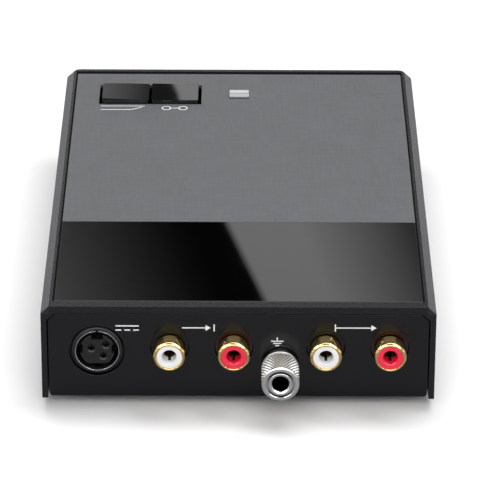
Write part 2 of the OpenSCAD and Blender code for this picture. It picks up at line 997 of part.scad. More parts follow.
// Push switch on the board, with the well that guides the plunger.
module push_switch(x) {
    well_w = plunger_w / 2 + 0.1;
    color("#2c2f33")
        in_case()
            difference() {
                box(
                    [x - switch_w / 2, switch_y - switch_w / 2, board_top],
                    [x + switch_w / 2, switch_y + switch_w / 2, switch_top]
                );
                box(
                    [x - well_w, switch_y - well_w, well_floor],
                    [x + well_w, switch_y + well_w, switch_top + cut]
                );
            }
}

// Points of one ring of a coil spring's wire, at a turn angle.
function spring_ring(turn, pitch) = [
    for (side = [0:5])
        let (out = spring_r + spring_wire_r * cos(60 * side))
            [out * cos(turn), out * sin(turn), pitch * turn / 360 + spring_wire_r * sin(60 * side)]
];

// Return spring under a plunger, as one unbroken coil.
module return_spring(x) {
    steps = 8 * spring_turns;
    pitch = (spring_l - 2 * spring_wire_r - 0.04) / spring_turns;
    points = [for (step = [0:steps]) each spring_ring(45 * step, pitch)];
    sides = [
        for (step = [0:steps - 1])
            for (side = [0:5])
                let (a = 6 * step + side, b = 6 * step + (side + 1) % 6)
                    each [[a, a + 6, b + 6], [a, b + 6, b]]
    ];
    start_cap = [for (side = [1:4]) [0, side, side + 1]];
    end_cap = [for (side = [1:4]) [6 * steps, 6 * steps + side + 1, 6 * steps + side]];
    color("#b5b7b8")
        in_case()
            translate([x, switch_y, well_floor + spring_wire_r + 0.02])
                polyhedron(points = points, faces = concat(sides, start_cap, end_cap));
}

// ---------------------------------------------------------------- light

// Clear light pipe: a window in the plate, a flange under the cover and a leg down to the light.
module light_pipe() {
    led_top = board_top + led_h + led_lens_h;
    color("#dfe3e6")
        in_case() {
            box(
                [-light_w / 2, light_y - light_l / 2, inside_top - 1.2],
                [light_w / 2, light_y + light_l / 2, plate_top + light_rise]
            );
            box(
                [-light_w / 2 - 1.2, light_y - light_l / 2 - 1.2, inside_top - 1.2],
                [light_w / 2 + 1.2, light_y + light_l / 2 + 1.2, inside_top]
            );
            box([-led_w / 2, light_y - light_l / 2, led_top + 0.2],
                [led_w / 2, light_y + light_l / 2, inside_top - 1.2]);
        }
}

// Light on the board under the pipe.
module indicator_led() {
    color("#f3efdc")
        in_case() {
            box(
                [-led_w / 2, light_y - led_l / 2, board_top],
                [led_w / 2, light_y + led_l / 2, board_top + led_h]
            );
            bar_z(0, light_y, board_top + led_h, board_top + led_h + led_lens_h, 1);
        }
}

// ---------------------------------------------------------------- slide switches

// Centre of one slider's slot in a bank, counted from 1 at the left.
function slider_x(side, number) = side * bank_x + (number - (bank_count + 1) / 2) * bank_pitch;

// One bank of slide switches under the board, facing down through its window.
module switch_bank(side) {
    slot_half_w = slider_w / 2 + slider_gap;
    slot_half_l = (slider_l + slider_travel) / 2 + slider_gap;
    color("#b3232b")
        in_case()
            difference() {
                box(
                    [side * bank_x - bank_w / 2, bank_y - bank_l / 2, bank_face],
                    [side * bank_x + bank_w / 2, bank_y + bank_l / 2, board_bottom]
                );
                for (number = [1:bank_count])
                    translate([slider_x(side, number), bank_y, bank_face])
                        box(
                            [-slot_half_w, -slot_half_l, -cut],
                            [slot_half_w, slot_half_l, slider_depth + slider_gap]
                        );
            }
}

// One small slider at the socket end of its slot.
module slider(side, number) {
    start = bank_y - (slider_l + slider_travel) / 2;
    x = slider_x(side, number);
    color("#f2f1ec")
        in_case()
            box(
                [x - slider_w / 2, start, bank_face - slider_rise],
                [x + slider_w / 2, start + slider_l, bank_face + slider_depth]
            );
}

// ---------------------------------------------------------------- components

// Places of a row of count things, centred on middle, one pitch apart.
function row(middle, pitch, count) =
    [for (step = [0:count - 1]) middle + (step - (count - 1) / 2) * pitch];

// Two upright three-legged regulators with their metal tabs.
module voltage_regulators() {
    body_top = regulator_lift + regulator_h;
    tab_front = regulator_t / 2 - regulator_tab_t;
    in_case()
        for (x = row(regulator_x, regulator_pitch, 2))
            translate([x, regulator_y, board_top]) {
                color("#1b1b1b")
                    box(
                        [-regulator_w / 2, -regulator_t / 2, regulator_lift],
                        [regulator_w / 2, regulator_t / 2, body_top]
                    );
                color("#b8b9b8")
                    difference() {
                        box(
                            [-regulator_w / 2, tab_front, body_top],
                            [regulator_w / 2, regulator_t / 2, body_top + regulator_tab_h]
                        );
                        bar_y(
                            0, body_top + regulator_tab_h / 2,
                            0, regulator_t, regulator_hole_r
                        );
                    }
                color("#c9c9c5")
                    for (leg = row(0, leg_pitch, 3))
                        box([leg - leg_w / 2, -leg_w, 0], [leg + leg_w / 2, 0, regulator_lift]);
            }
}

// Upright aluminium-can capacitors.
module electrolytic_capacitors() {
    color("#23304f")
        in_case()
            for (x = row(can_x, can_pitch_x, 2))
                for (y = row(can_y, can_pitch_y, 3)) {
                    bar_z(x, y, board_top, board_top + can_h - can_edge, can_r);
                    bar_z(
                        x, y, board_top + can_h - can_edge, board_top + can_h,
                        can_r - can_edge
                    );
                }
}

// Box-shaped film capacitors.
module film_capacitors() {
    color("#b5322f")
        in_case()
            for (x = row(film_x, film_pitch_x, 2))
                for (y = row(film_y, film_pitch_y, 4))
                    translate([x, y, board_top + film_h / 2])
                        cube([film_w, film_t, film_h], center = true);
}

// Eight-legged amplifier chips.
module op_amps() {
    color("#1e1e1f")
        in_case()
            for (x = row(chip_x, chip_pitch_x, 2))
                for (y = row(chip_y, chip_pitch_y, 2))
                    translate([x, y, board_top])
                        op_amp();
}

// One amplifier chip with its end notch and its legs.
module op_amp() {
    difference() {
        translate([0, 0, chip_lift + chip_h / 2])
            cube([chip_w, chip_l, chip_h], center = true);
        bar_z(0, -chip_l / 2, chip_lift + chip_h - leg_w, chip_lift + chip_h + cut, chip_notch_r);
    }
    for (side = [-1, 1])
        for (leg = row(0, leg_pitch, 4))
            translate([side * ((chip_w + leg_w) / 2 - fit_gap), leg, chip_h / 4 + chip_lift])
                cube([leg_w, leg_w, chip_h / 2 + 2 * chip_lift], center = true);
}

// Axial resistors that lie across the board on bent leads.
module resistors() {
    color("#3f7f9c")
        in_case()
            for (side = [-1, 1])
                for (x = row(side * resistor_x, resistor_pitch_x, 2))
                    for (y = row(resistor_y, resistor_pitch_y, 3))
                        translate([x, y, board_top])
                            resistor();
}

// One resistor with its leads.
module resistor() {
    translate([-resistor_l / 2, 0, resistor_lift])
        rotate([0, 90, 0])
            cylinder(h = resistor_l, r = resistor_r);
    translate([-lead_span / 2, 0, resistor_lift])
        rotate([0, 90, 0])
            cylinder(h = lead_span, r = lead_r);
    for (end = [-1, 1])
        bar_z(end * lead_span / 2, 0, 0, resistor_lift + lead_r, lead_r);
}

// ---------------------------------------------------------------- every node by name

top_cover();
chassis();
matte_plate();
gloss_plate();
case_screws();
foot(-1, foot_inset);  // foot_socket_left
foot(1, foot_inset);  // foot_socket_right
foot(-1, case_l - foot_inset);  // foot_control_left
foot(1, case_l - foot_inset);  // foot_control_right
main_board();
board_spacers();
board_screws();
power_socket_body();
power_socket_shell();
power_socket_core();
power_socket_contacts();
jack_body(0, "#e9e7df");  // input_left_body
jack_barrel(0);  // input_left_barrel
jack_contact(0);  // input_left_contact
jack_body(1, "#b3122a");  // input_right_body
jack_barrel(1);  // input_right_barrel
jack_contact(1);  // input_right_contact
jack_body(2, "#e9e7df");  // output_left_body
jack_barrel(2);  // output_left_barrel
jack_contact(2);  // output_left_contact
jack_body(3, "#b3122a");  // output_right_body
jack_barrel(3);  // output_right_barrel
jack_contact(3);  // output_right_contact
ground_post();
ground_nut();
ground_washer();
ground_hex_nut();
ground_lock_washer();
ground_tag();
ground_wire();
key_cap(filter_key_x, key_rise + filter_key_lift, key_rise);  // filter_key
key_plunger(filter_key_x + key_w / 2);  // filter_plunger
push_switch(filter_key_x + key_w / 2);  // filter_switch
return_spring(filter_key_x + key_w / 2);  // filter_spring
key_cap(mono_key_x, key_rise, key_rise + mono_key_lift);  // mono_key
key_plunger(mono_key_x + key_w / 2);  // mono_plunger
push_switch(mono_key_x + key_w / 2);  // mono_switch
return_spring(mono_key_x + key_w / 2);  // mono_spring
light_pipe();
indicator_led();
switch_bank(-1);  // loading_switch_bank
switch_bank(1);  // gain_switch_bank
slider(-1, 1);  // loading_slider_1
slider(-1, 2);  // loading_slider_2
slider(-1, 3);  // loading_slider_3
slider(-1, 4);  // loading_slider_4
slider(1, 1);  // gain_slider_1
slider(1, 2);  // gain_slider_2
slider(1, 3);  // gain_slider_3
slider(1, 4);  // gain_slider_4
voltage_regulators();
electrolytic_capacitors();
film_capacitors();
op_amps();
resistors();
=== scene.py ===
"""Looks of a small phono preamp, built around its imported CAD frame."""

import json
import math

import bmesh
import bpy
from mathutils import Matrix, Vector


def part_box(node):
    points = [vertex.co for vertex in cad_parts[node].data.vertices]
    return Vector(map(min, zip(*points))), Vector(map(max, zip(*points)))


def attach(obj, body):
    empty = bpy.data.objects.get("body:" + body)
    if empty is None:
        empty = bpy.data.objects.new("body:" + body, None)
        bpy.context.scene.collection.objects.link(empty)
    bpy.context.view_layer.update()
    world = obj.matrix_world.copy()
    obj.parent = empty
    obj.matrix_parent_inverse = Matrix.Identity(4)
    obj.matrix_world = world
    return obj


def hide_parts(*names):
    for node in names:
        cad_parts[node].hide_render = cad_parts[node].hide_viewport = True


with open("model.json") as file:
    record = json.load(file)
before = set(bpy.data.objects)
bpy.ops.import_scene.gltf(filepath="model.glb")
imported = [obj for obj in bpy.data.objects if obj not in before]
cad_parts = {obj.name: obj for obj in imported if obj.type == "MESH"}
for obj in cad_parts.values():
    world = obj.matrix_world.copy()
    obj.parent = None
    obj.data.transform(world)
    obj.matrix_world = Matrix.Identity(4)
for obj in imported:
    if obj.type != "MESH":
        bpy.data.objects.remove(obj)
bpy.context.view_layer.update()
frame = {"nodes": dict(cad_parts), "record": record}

MM = 0.001
TURN = 2 * math.pi
nodes = frame["nodes"]
scene = bpy.context.scene

# ---------------------------------------------------------------- shader maths


def add_node(tree, kind, settings=None, sockets=None, output=0):
    """Adds a node to a tree: its settings first, then the values or links of its sockets."""
    made = tree.nodes.new(kind)
    for setting, value in (settings or {}).items():
        setattr(made, setting, value)
    for socket, value in (sockets or {}).items():
        if isinstance(value, bpy.types.NodeSocket):
            tree.links.new(value, made.inputs[socket])
        else:
            made.inputs[socket].default_value = value
    return made.outputs[output]


class Tone:
    """A shader socket that takes part in arithmetic."""

    def __init__(self, finish, socket):
        self.finish = finish
        self.socket = socket

    def math(self, operation, *others):
        """A maths node on this socket and others."""
        sockets = dict(enumerate((self, *others)))
        return self.finish.node("ShaderNodeMath", {"operation": operation}, sockets)

    def __add__(self, other):
        return self.math("ADD", other)

    def __mul__(self, other):
        return self.math("MULTIPLY", other)

    def __sub__(self, other):
        return self.math("SUBTRACT", other)

    def __rsub__(self, other):
        return self.finish.node("ShaderNodeMath", {"operation": "SUBTRACT"}, {0: other, 1: self})

    def __gt__(self, limit):
        return self.math("GREATER_THAN", limit)

    def __lt__(self, limit):
        return self.math("LESS_THAN", limit)

    def between(self, low, high):
        """0 up to low, 1 from high on, and a straight ramp in between."""
        sockets = {0: self, 1: low, 2: high}
        return self.finish.node("ShaderNodeMapRange", {"clamp": True}, sockets)


class Finish:
    """One material. Its shader's plain sockets are set by name, and its patterns come from node()."""

    def __init__(self, name, colour, plain):
        self.name = name
        self.material = bpy.data.materials.new(name)
        self.material.use_nodes = True
        self.tree = self.material.node_tree
        self.shader = self.tree.nodes["Principled BSDF"]
        self.colour = (*colour, 1)
        self.shader.inputs["Base Color"].default_value = self.colour
        for socket, value in plain.items():
            self.shader.inputs[socket].default_value = value
        self.material.diffuse_color = self.colour

    def node(self, kind, settings=None, sockets=None, output=0):
        """Adds a node of this material. Its sockets take values or tones."""
        taken = {
            socket: value.socket if isinstance(value, Tone) else value
            for socket, value in (sockets or {}).items()
        }
        return Tone(self, add_node(self.tree, kind, settings, taken, output))

    def place(self, stretch=(1, 1, 1), centre=(0, 0, 0)):
        """Where a point is on the object, in metres, stretched about a centre."""
        spot = self.node("ShaderNodeTexCoord", output=3)
        moved = self.node(
            "ShaderNodeVectorMath", {"operation": "SUBTRACT"}, {0: spot, 1: centre}
        )
        return self.node(
            "ShaderNodeVectorMath", {"operation": "MULTIPLY"}, {0: moved, 1: stretch}
        )

    def axis(self, spot, letter):
        """One coordinate of a point."""
        return self.node("ShaderNodeSeparateXYZ", {}, {0: spot}, "XYZ".index(letter))

    def grain(self, size, detail=2, stretch=(1, 1, 1)):
        """Cloudy noise from 0 to 1 whose grains are about this size in metres."""
        return self.node(
            "ShaderNodeTexNoise",
            {},
            {"Vector": self.place(stretch), "Scale": 1 / size, "Detail": detail},
        )

    def mix(self, amount, first, second):
        """Colour that goes from first to second as amount goes from 0 to 1."""
        sockets = {0: amount, 6: first, 7: second}
        return self.node("ShaderNodeMix", {"data_type": "RGBA"}, sockets, 2)

    def within(self, low, high):
        """1 inside a box of the object's own space, and 0 outside."""
        spot = self.place()
        inside = 1
        for letter, first, last in zip("XYZ", low, high):
            along = self.axis(spot, letter)
            inside = (along > first) * (along < last) * inside
        return inside

    def set(self, socket, tone):
        """Feeds one socket of the shader with a pattern."""
        self.tree.links.new(tone.socket, self.shader.inputs[socket])
        return self

    def bump(self, height, depth):
        """Raises the surface by height times depth in metres."""
        sockets = {"Strength": 1, "Distance": depth, "Height": height}
        return self.set("Normal", self.node("ShaderNodeBump", {}, sockets))


def shade(colour, share):
    """The colour made darker or lighter by a share."""
    return (*[min(1, part * share) for part in colour], 1)


def grained(name, colour, rough, size, depth, plain=None, spread=0.12, rough_spread=0.06):
    """A finish with one fine grain in its colour, roughness and surface."""
    finish = Finish(name, colour, plain or {})
    grain = finish.grain(size)
    broad = finish.grain(size * 40, 3)
    both = grain * 0.6 + broad * 0.4
    finish.set("Base Color", finish.mix(both, shade(colour, 1 - spread), shade(colour, 1 + spread)))
    finish.set("Roughness", grain * rough_spread + broad * rough_spread + (rough - rough_spread))
    return finish.bump(grain, depth)


# ---------------------------------------------------------------- finishes


def cover_coat():
    """Blasted and dyed aluminium: charcoal with a fine sparkle, and painted shade, near black, in the
    plates' pocket.

    The chamfers along its two sides have a clear coat, so that they mirror more than the rest.
    """
    colour = (0.0082, 0.0088, 0.01)
    pocket_painted_shade = (0.001, 0.001, 0.001, 1)
    chamfer_leg = 2.15 * MM
    finish = Finish("cover_coat", colour, {"Specular IOR Level": 0.32, "Coat Roughness": 0.2})
    blast = finish.grain(0.3 * MM, 3)
    pits = finish.grain(0.12 * MM, 1)
    cloud = finish.grain(9 * MM, 3)
    mottle = blast.between(0.25, 0.75) * 0.75 + cloud * 0.25
    coat = finish.mix(mottle, shade(colour, 0.5), shade(colour, 1.7))
    # Painted shade: inside the plates' pocket the colour goes near black, for the shade in the gaps
    # round the plates.
    inside = finish.within(*POCKET)
    finish.set("Base Color", finish.mix(inside, coat, pocket_painted_shade))
    finish.set("Roughness", blast * 0.16 + 0.2 + inside * 0.5)
    low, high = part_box("top_cover")
    near, under, above = low.y - MM, high.z - chamfer_leg, high.z + MM
    left = finish.within((low.x - MM, near, under), (low.x + chamfer_leg, high.y, above))
    right = finish.within((high.x - chamfer_leg, near, under), (high.x + MM, high.y, above))
    finish.set("Coat Weight", (left + right) * 0.68)
    return finish.bump(blast * 0.7 + pits * 0.3, 0.035 * MM)


def chassis_coat():
    """Satin black paint over folded steel."""
    colour = (0.0026, 0.0027, 0.0033)
    finish = Finish("chassis_coat", colour, {"Specular IOR Level": 0.46})
    peel = finish.grain(0.4 * MM, 2)
    cloud = finish.grain(12 * MM, 3)
    finish.set("Base Color", finish.mix(cloud, shade(colour, 0.8), shade(colour, 1.25)))
    finish.set("Roughness", peel * 0.08 + cloud * 0.04 + 0.14)
    return finish.bump(peel, 0.01 * MM)


def matte_plate():
    """Grey plate brushed both ways, so that its lines cross like linen."""
    colour = (0.115, 0.118, 0.124)
    finish = Finish("matte_plate", colour, {"Specular IOR Level": 0.4})
    across = finish.grain(1 * MM, 2, (0.14, 1.9, 1))
    along = finish.grain(1 * MM, 2, (2.4, 0.14, 1))
    cloud = finish.grain(14 * MM, 3)
    weave = across.between(0.3, 0.7) * 0.5 + along.between(0.3, 0.7) * 0.5
    tint = weave * 0.7 + cloud * 0.3
    finish.set("Base Color", finish.mix(tint, shade(colour, 0.72), shade(colour, 1.28)))
    finish.set("Roughness", weave * 0.14 + 0.46)
    return finish.bump(weave, 0.018 * MM)


def gloss_plate():
    """Polished black plate with the faintest haze."""
    colour = (0.0014, 0.0014, 0.0017)
    finish = Finish("gloss_plate", colour, {"IOR": 1.52})
    haze = finish.grain(7 * MM, 4)
    dust = finish.grain(0.35 * MM, 1).between(0.7, 0.8)
    finish.set("Base Color", finish.mix(dust, shade(colour, 0.9), shade(colour, 1.6)))
    finish.set("Roughness", haze * 0.02 + 0.012)
    return finish.bump(finish.grain(18 * MM, 1), 0.001 * MM)


def key_black():
    """Polished black moulding of the two keys."""
    colour = (0.0012, 0.0012, 0.0014)
    finish = Finish("key_black", colour, {"IOR": 1.58})
    haze = finish.grain(3 * MM, 3)
    finish.set("Base Color", finish.mix(haze, shade(colour, 0.8), shade(colour, 1.3)))
    finish.set("Roughness", haze * 0.025 + 0.015)
    return finish.bump(finish.grain(6 * MM, 1), 0.0008 * MM)


def foot_rubber():
    """Dull black rubber of the feet, also used for the strip of painted shadow along the light
    window's near side.
    """
    return grained("foot_rubber", (0.017, 0.017, 0.018), 0.78, 0.4 * MM, 0.03 * MM)


def turned_metal(name, colour, rough):
    """Plated metal turned on a lathe about an axis along Y: fine rings on it follow the tool."""
    finish = Finish(name, colour, {"Metallic": 1.0})
    ring_pitch = 0.09 * MM
    rings = finish.node(
        "ShaderNodeTexNoise",
        {"noise_dimensions": "1D"},
        {"W": finish.axis(finish.place(), "Y"), "Scale": 1 / ring_pitch, "Detail": 2},
    )
    film = finish.grain(1.6 * MM, 3)
    finish.set("Base Color", finish.mix(film, shade(colour, 0.9), shade(colour, 1.08)))
    finish.set("Roughness", rings * 0.07 + film * 0.05 + (rough - 0.06))
    return finish.bump(rings, 0.003 * MM)


KNURL_HEIGHT = 0.34 * MM
NUT_LAND = 0.7 * MM


def terminal_metal():
    """Turned nickel, with painted shade in the ground post's bore and in the grooves of the nut's
    knurling, and a painted highlight on the knurl's crests.
    """
    colour = (0.74, 0.735, 0.72)
    crest_painted_highlight = (0.92, 0.92, 0.9, 1)
    groove_painted_shade = (0.02, 0.02, 0.02, 1)
    bore_painted_shade = (0.045, 0.045, 0.044, 1)
    bore_reach, bore_mouth, bore_depth = 2.2 * MM, 0.45 * MM, 10 * MM
    crest_skin, knurl_skin = 0.08 * MM, 0.45 * MM
    finish = turned_metal("terminal_nickel", colour, 0.2)
    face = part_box("ground_post")[0].y
    bore = finish.within(
        (POST_CENTRE.x - bore_reach, face + bore_mouth, POST_CENTRE.z - bore_reach),
        (POST_CENTRE.x + bore_reach, face + bore_depth, POST_CENTRE.z + bore_reach),
    )
    front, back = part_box("ground_nut")
    outer = (back.x - front.x) / 2
    spot = finish.place((1, 1, 1), POST_CENTRE)
    across = finish.axis(spot, "X")
    height = finish.axis(spot, "Z")
    along = finish.axis(finish.place(), "Y")
    radius = (across * across + height * height).math("SQRT")
    depth = 1 - radius.between(outer - KNURL_HEIGHT, outer - crest_skin)
    behind_land = along > front.y + NUT_LAND + 0.05 * MM
    before_land = along < back.y - NUT_LAND
    knurl = (radius > outer - knurl_skin) * behind_land * before_land
    film = finish.grain(1.6 * MM, 3)
    metal = finish.mix(film, shade(colour, 0.9), shade(colour, 1.08))
    # Painted highlight and painted shade: the knurl's crests are coloured lighter and its grooves
    # near black, for the light on the crests and the shade between them.
    metal = finish.mix(knurl, metal, crest_painted_highlight)
    metal = finish.mix(knurl * depth, metal, groove_painted_shade)
    # Painted shade: the post's bore is coloured near black.
    finish.set("Base Color", finish.mix(bore, metal, bore_painted_shade))
    finish.set("Roughness", film * 0.05 + knurl * 0.24 + 0.16)
    return finish


def plated(name, colour, rough):
    """Plated small metal with a faint film."""
    return grained(
        name, colour, rough, 0.25 * MM, 0.004 * MM, {"Metallic": 1.0}, 0.07, 0.05
    )


def brushed(name, colour, rough, stretch):
    """Metal with fine lines one way."""
    finish = Finish(name, colour, {"Metallic": 1.0})
    lines = finish.grain(0.5 * MM, 2, stretch)
    finish.set("Base Color", finish.mix(lines, shade(colour, 0.85), shade(colour, 1.12)))
    finish.set("Roughness", lines * 0.14 + (rough - 0.07))
    return finish.bump(lines, 0.006 * MM)


def moulding(name, colour, rough, coat=0.0):
    """Moulded plastic: an even skin with slight flow and a fine texture."""
    finish = Finish(name, colour, {"Coat Weight": coat, "Coat Roughness": 0.12})
    flow = finish.grain(5 * MM, 3)
    skin = finish.grain(0.18 * MM, 1)
    finish.set("Base Color", finish.mix(flow, shade(colour, 0.93), shade(colour, 1.05)))
    finish.set("Roughness", flow * 0.06 + skin * 0.04 + (rough - 0.05))
    return finish.bump(skin, 0.004 * MM)


def board_green():
    """Solder mask over copper: tracks on a square pitch and bare pads."""
    colour = (0.012, 0.105, 0.042)
    finish = Finish("board_green", colour, {"Coat Weight": 0.35, "Coat Roughness": 0.2})
    spot = finish.place()
    track_pitch = 2.54 * MM
    tone = 0
    for letter, share in (("X", 1), ("Y", 2)):
        step = (finish.axis(spot, letter) * (1 / track_pitch)).math("FRACT")
        line = 1 - (step - 0.5).math("ABSOLUTE").between(0.12, 0.16)
        patch = finish.grain(9 * MM * share, 0).between(0.48, 0.52)
        tone = line * patch + tone if tone else line * patch
    mask = tone.math("MINIMUM", 1)
    fibre = finish.grain(0.3 * MM, 2)
    base = finish.mix(fibre, shade(colour, 0.85), shade(colour, 1.1))
    finish.set("Base Color", finish.mix(mask, base, shade(colour, 1.9)))
    finish.set("Roughness", fibre * 0.08 + 0.34)
    return finish.bump(mask * 0.7 + fibre * 0.1, 0.03 * MM)


def window_face():
    """Two corners of the part of the light window that stands above the plate."""
    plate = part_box("matte_plate")[1].z
    proud = [point.co for point in nodes["light_pipe"].data.vertices if point.co.z > plate]
    low = Vector([min(spot[axis] for spot in proud) for axis in range(3)])
    high = Vector([max(spot[axis] for spot in proud) for axis in range(3)])
    return Vector((low.x, low.y, plate)), high


def window_clear():
    """Frosted clear moulding of the light window, whose colour holds painted light: a lighter front
    face, a darker top, a dark painted line along the near top edge and painted shade towards its
    foot.
    """
    colour = (0.74, 0.76, 0.77)
    finish = Finish(
        "light_clear", colour, {"Coat Weight": 0.6, "Coat Roughness": 0.08, "IOR": 1.49}
    )
    frost = finish.grain(0.12 * MM, 2)
    height = finish.axis(finish.place(), "Z")
    near, far = window_face()
    edge_width = 0.55 * MM
    # Painted light: the front face is coloured lighter and the top darker, a strip along the near top
    # edge dark as a painted reflection of the dim sky, and the foot darker as painted shade.
    depth = height.between(near.z - 0.3 * MM, near.z + 0.6 * MM)
    top_shade_ramp = height.between(far.z - 0.35 * MM, far.z - 0.1 * MM)
    edge = finish.within(
        (near.x, near.y - 0.1 * MM, far.z - 0.3 * MM), (far.x, near.y + edge_width, far.z + MM)
    )
    lit = finish.mix(top_shade_ramp, shade(colour, 1.25), shade(colour, 0.78))
    lit = finish.mix(edge, lit, shade(colour, 0.55))
    finish.set("Base Color", finish.mix(depth, shade(colour, 0.6), lit))
    finish.set("Roughness", frost * 0.1 + 0.2)
    return finish.bump(frost, 0.006 * MM)


def print_white():
    """White ink of the printed marks."""
    return grained("print_white", (0.82, 0.83, 0.84), 0.5, 0.2 * MM, 0.002 * MM, {}, 0.05)


def box_centre(name):
    """The middle of a CAD node's box."""
    low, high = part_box(name)
    return (low + high) / 2


POST_CENTRE = box_centre("ground_post")

# The plates' pocket in the cover, whose walls the cover's finish colours near black as painted shade.
PLATES_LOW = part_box("gloss_plate")[0]
PLATES_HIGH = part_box("matte_plate")[1]
PLATE_GAP = 0.46 * MM
FAR_GAP = 1.02 * MM
POCKET_BELOW = 2 * MM
POCKET_RIM = 0.12 * MM
POCKET = (
    (PLATES_LOW.x - PLATE_GAP, PLATES_LOW.y - PLATE_GAP, PLATES_LOW.z - POCKET_BELOW),
    (PLATES_HIGH.x + PLATE_GAP, PLATES_HIGH.y + FAR_GAP, PLATES_HIGH.z - POCKET_RIM),
)

FINISHES = {finish.name: finish for finish in (
    cover_coat(),
    chassis_coat(),
    matte_plate(),
    gloss_plate(),
    key_black(),
    foot_rubber(),
    brushed("screw_steel", (0.36, 0.37, 0.38), 0.38, (1, 1, 6)),
    board_green(),
    moulding("moulding_black", (0.009, 0.009, 0.01), 0.4),
    turned_metal("shell_nickel", (0.9, 0.89, 0.87), 0.16),
    moulding("core_black", (0.005, 0.0052, 0.0058), 0.42),
    plated("contact_gilt", (0.84, 0.68, 0.38), 0.26),
    moulding("jack_white", (0.89, 0.895, 0.9), 0.26, 0.4),
    moulding("jack_red", (0.87, 0.016, 0.06), 0.2, 0.5),
    turned_metal("barrel_gilt", (0.86, 0.63, 0.27), 0.13),
    terminal_metal(),
    plated("nickel_small", (0.62, 0.62, 0.6), 0.3),
    moulding("wire_green", (0.02, 0.26, 0.06), 0.45),
    moulding("plunger_white", (0.74, 0.72, 0.66), 0.42),
    moulding("switch_grey", (0.03, 0.033, 0.038), 0.5),
    brushed("spring_steel", (0.5, 0.5, 0.51), 0.3, (4, 4, 1)),
    window_clear(),
    moulding("led_resin", (0.86, 0.82, 0.62), 0.3, 0.4),
    moulding("bank_red", (0.36, 0.02, 0.03), 0.42),
    moulding("slider_white", (0.8, 0.79, 0.75), 0.4),
    moulding("regulator", (0.03, 0.03, 0.032), 0.45),
    moulding("can_sleeve", (0.014, 0.028, 0.09), 0.35, 0.3),
    moulding("film_case", (0.42, 0.03, 0.025), 0.35, 0.3),
    moulding("chip_black", (0.02, 0.02, 0.021), 0.55),
    moulding("resistor_blue", (0.06, 0.2, 0.3), 0.4, 0.2),
    print_white(),
    moulding("ring_red", (0.03, 0.0015, 0.004), 0.3, 0.3),
)}

SLOT_OF = {entry["node"]: entry["material_slot"] for entry in frame["record"]["subparts"]}
BODY_OF = {
    "filter_key": "filter_button",
    "mono_key": "mono_button",
    "ground_nut": "clamp_nut",
    "ground_washer": "clamp_washer",
}

for name, node in nodes.items():
    node.data.materials.clear()
    node.data.materials.append(FINISHES[SLOT_OF[name]].material)
    for face in node.data.polygons:
        face.material_index = 0

# ---------------------------------------------------------------- pieces


def body_of(name):
    """The CAD body that a node belongs to."""
    return BODY_OF.get(name, "case")


def object_of(name, shape, finish):
    """An object at the origin from a finished bmesh, with one material."""
    bmesh.ops.recalc_face_normals(shape, faces=shape.faces)
    mesh = bpy.data.meshes.new(name)
    shape.to_mesh(mesh)
    shape.free()
    mesh.materials.append(FINISHES[finish].material)
    piece = bpy.data.objects.new(name, mesh)
    scene.collection.objects.link(piece)
    return piece


MERGE_DISTANCE = 0.002 * MM


def merged_copy(name):
    """The node's mesh as a bmesh without doubled points or cut-up flat faces."""
    shape = bmesh.new()
    shape.from_mesh(nodes[name].data)
    bmesh.ops.remove_doubles(shape, verts=shape.verts, dist=MERGE_DISTANCE)
    bmesh.ops.dissolve_limit(
        shape, angle_limit=math.radians(0.6), verts=shape.verts, edges=shape.edges
    )
    bmesh.ops.recalc_face_normals(shape, faces=shape.faces)
    return shape


def round_edges(piece, width, angle=28, steps=3):
    """Rounds the edges that turn by more than the angle, and keeps the flats flat."""
    for face in piece.data.polygons:
        face.use_smooth = True
    edges = piece.modifiers.new("edges", "BEVEL")
    edges.width = width
    edges.segments = steps
    edges.limit_method = "ANGLE"
    edges.angle_limit = math.radians(angle)
    edges.miter_outer = "MITER_ARC"
    flats = piece.modifiers.new("flats", "WEIGHTED_NORMAL")
    flats.weight = 100
    return piece


def stand_for(piece, name):
    """The piece takes a CAD node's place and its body."""
    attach(piece, body_of(name))
    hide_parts(name)
    return piece


def softened(name, width, angle=28, steps=3, shape=None):
    """A copy of a CAD node with rounded edges, in its place."""
    shape = shape or merged_copy(name)
    piece = object_of(name + "_soft", shape, SLOT_OF[name])
    return stand_for(round_edges(piece, width, angle, steps), name)


def level_key():
    """The mono key with its top parallel to the plate, as its reflection shows."""
    shape = merged_copy("mono_key")
    low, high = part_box("mono_key")
    rise, close = 0.2 * MM, 0.004 * MM
    slope = rise / (high.x - low.x)
    level = high.z - rise / 2
    for point in shape.verts:
        tilted = high.z - slope * (high.x - point.co.x)
        if abs(point.co.z - tilted) < close:
            point.co.z = level
    return shape


def settled_key():
    """The filter key, whose far edge sits a little lower, as its reflection shows."""
    shape = merged_copy("filter_key")
    low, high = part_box("filter_key")
    drop, top_zone = 0.27 * MM, MM
    for point in shape.verts:
        if point.co.z > high.z - top_zone:
            point.co.z -= drop * (point.co.y - low.y) / (high.y - low.y)
    return shape


def shorter_plate():
    """The matt plate with a slightly wider gap at its far end, as the dark line there shows."""
    shape = merged_copy("matte_plate")
    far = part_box("matte_plate")[1].y
    shift, end_zone = 0.7 * MM, 3 * MM
    for point in shape.verts:
        if point.co.y > far - end_zone:
            point.co.y -= shift
    return shape


def tight_fold():
    """The chassis, whose fold under the socket panel has a small radius in the photograph."""
    shape = merged_copy("chassis")
    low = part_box("chassis")[0]
    bend, tight = 2 * MM, 1.2 * MM
    close, nothing = 0.06 * MM, 0.001 * MM
    centre = Vector((0, low.y + bend, low.z + bend))
    nearer = Vector((0, low.y + tight, low.z + tight))
    for point in shape.verts:
        reach = Vector((0, point.co.y, point.co.z)) - centre
        on_arc = abs(reach.length - bend) < close
        if on_arc and reach.y < nothing and reach.z < nothing:
            moved = nearer + reach.normalized() * tight
            point.co.y = moved.y
            point.co.z = moved.z
    return shape


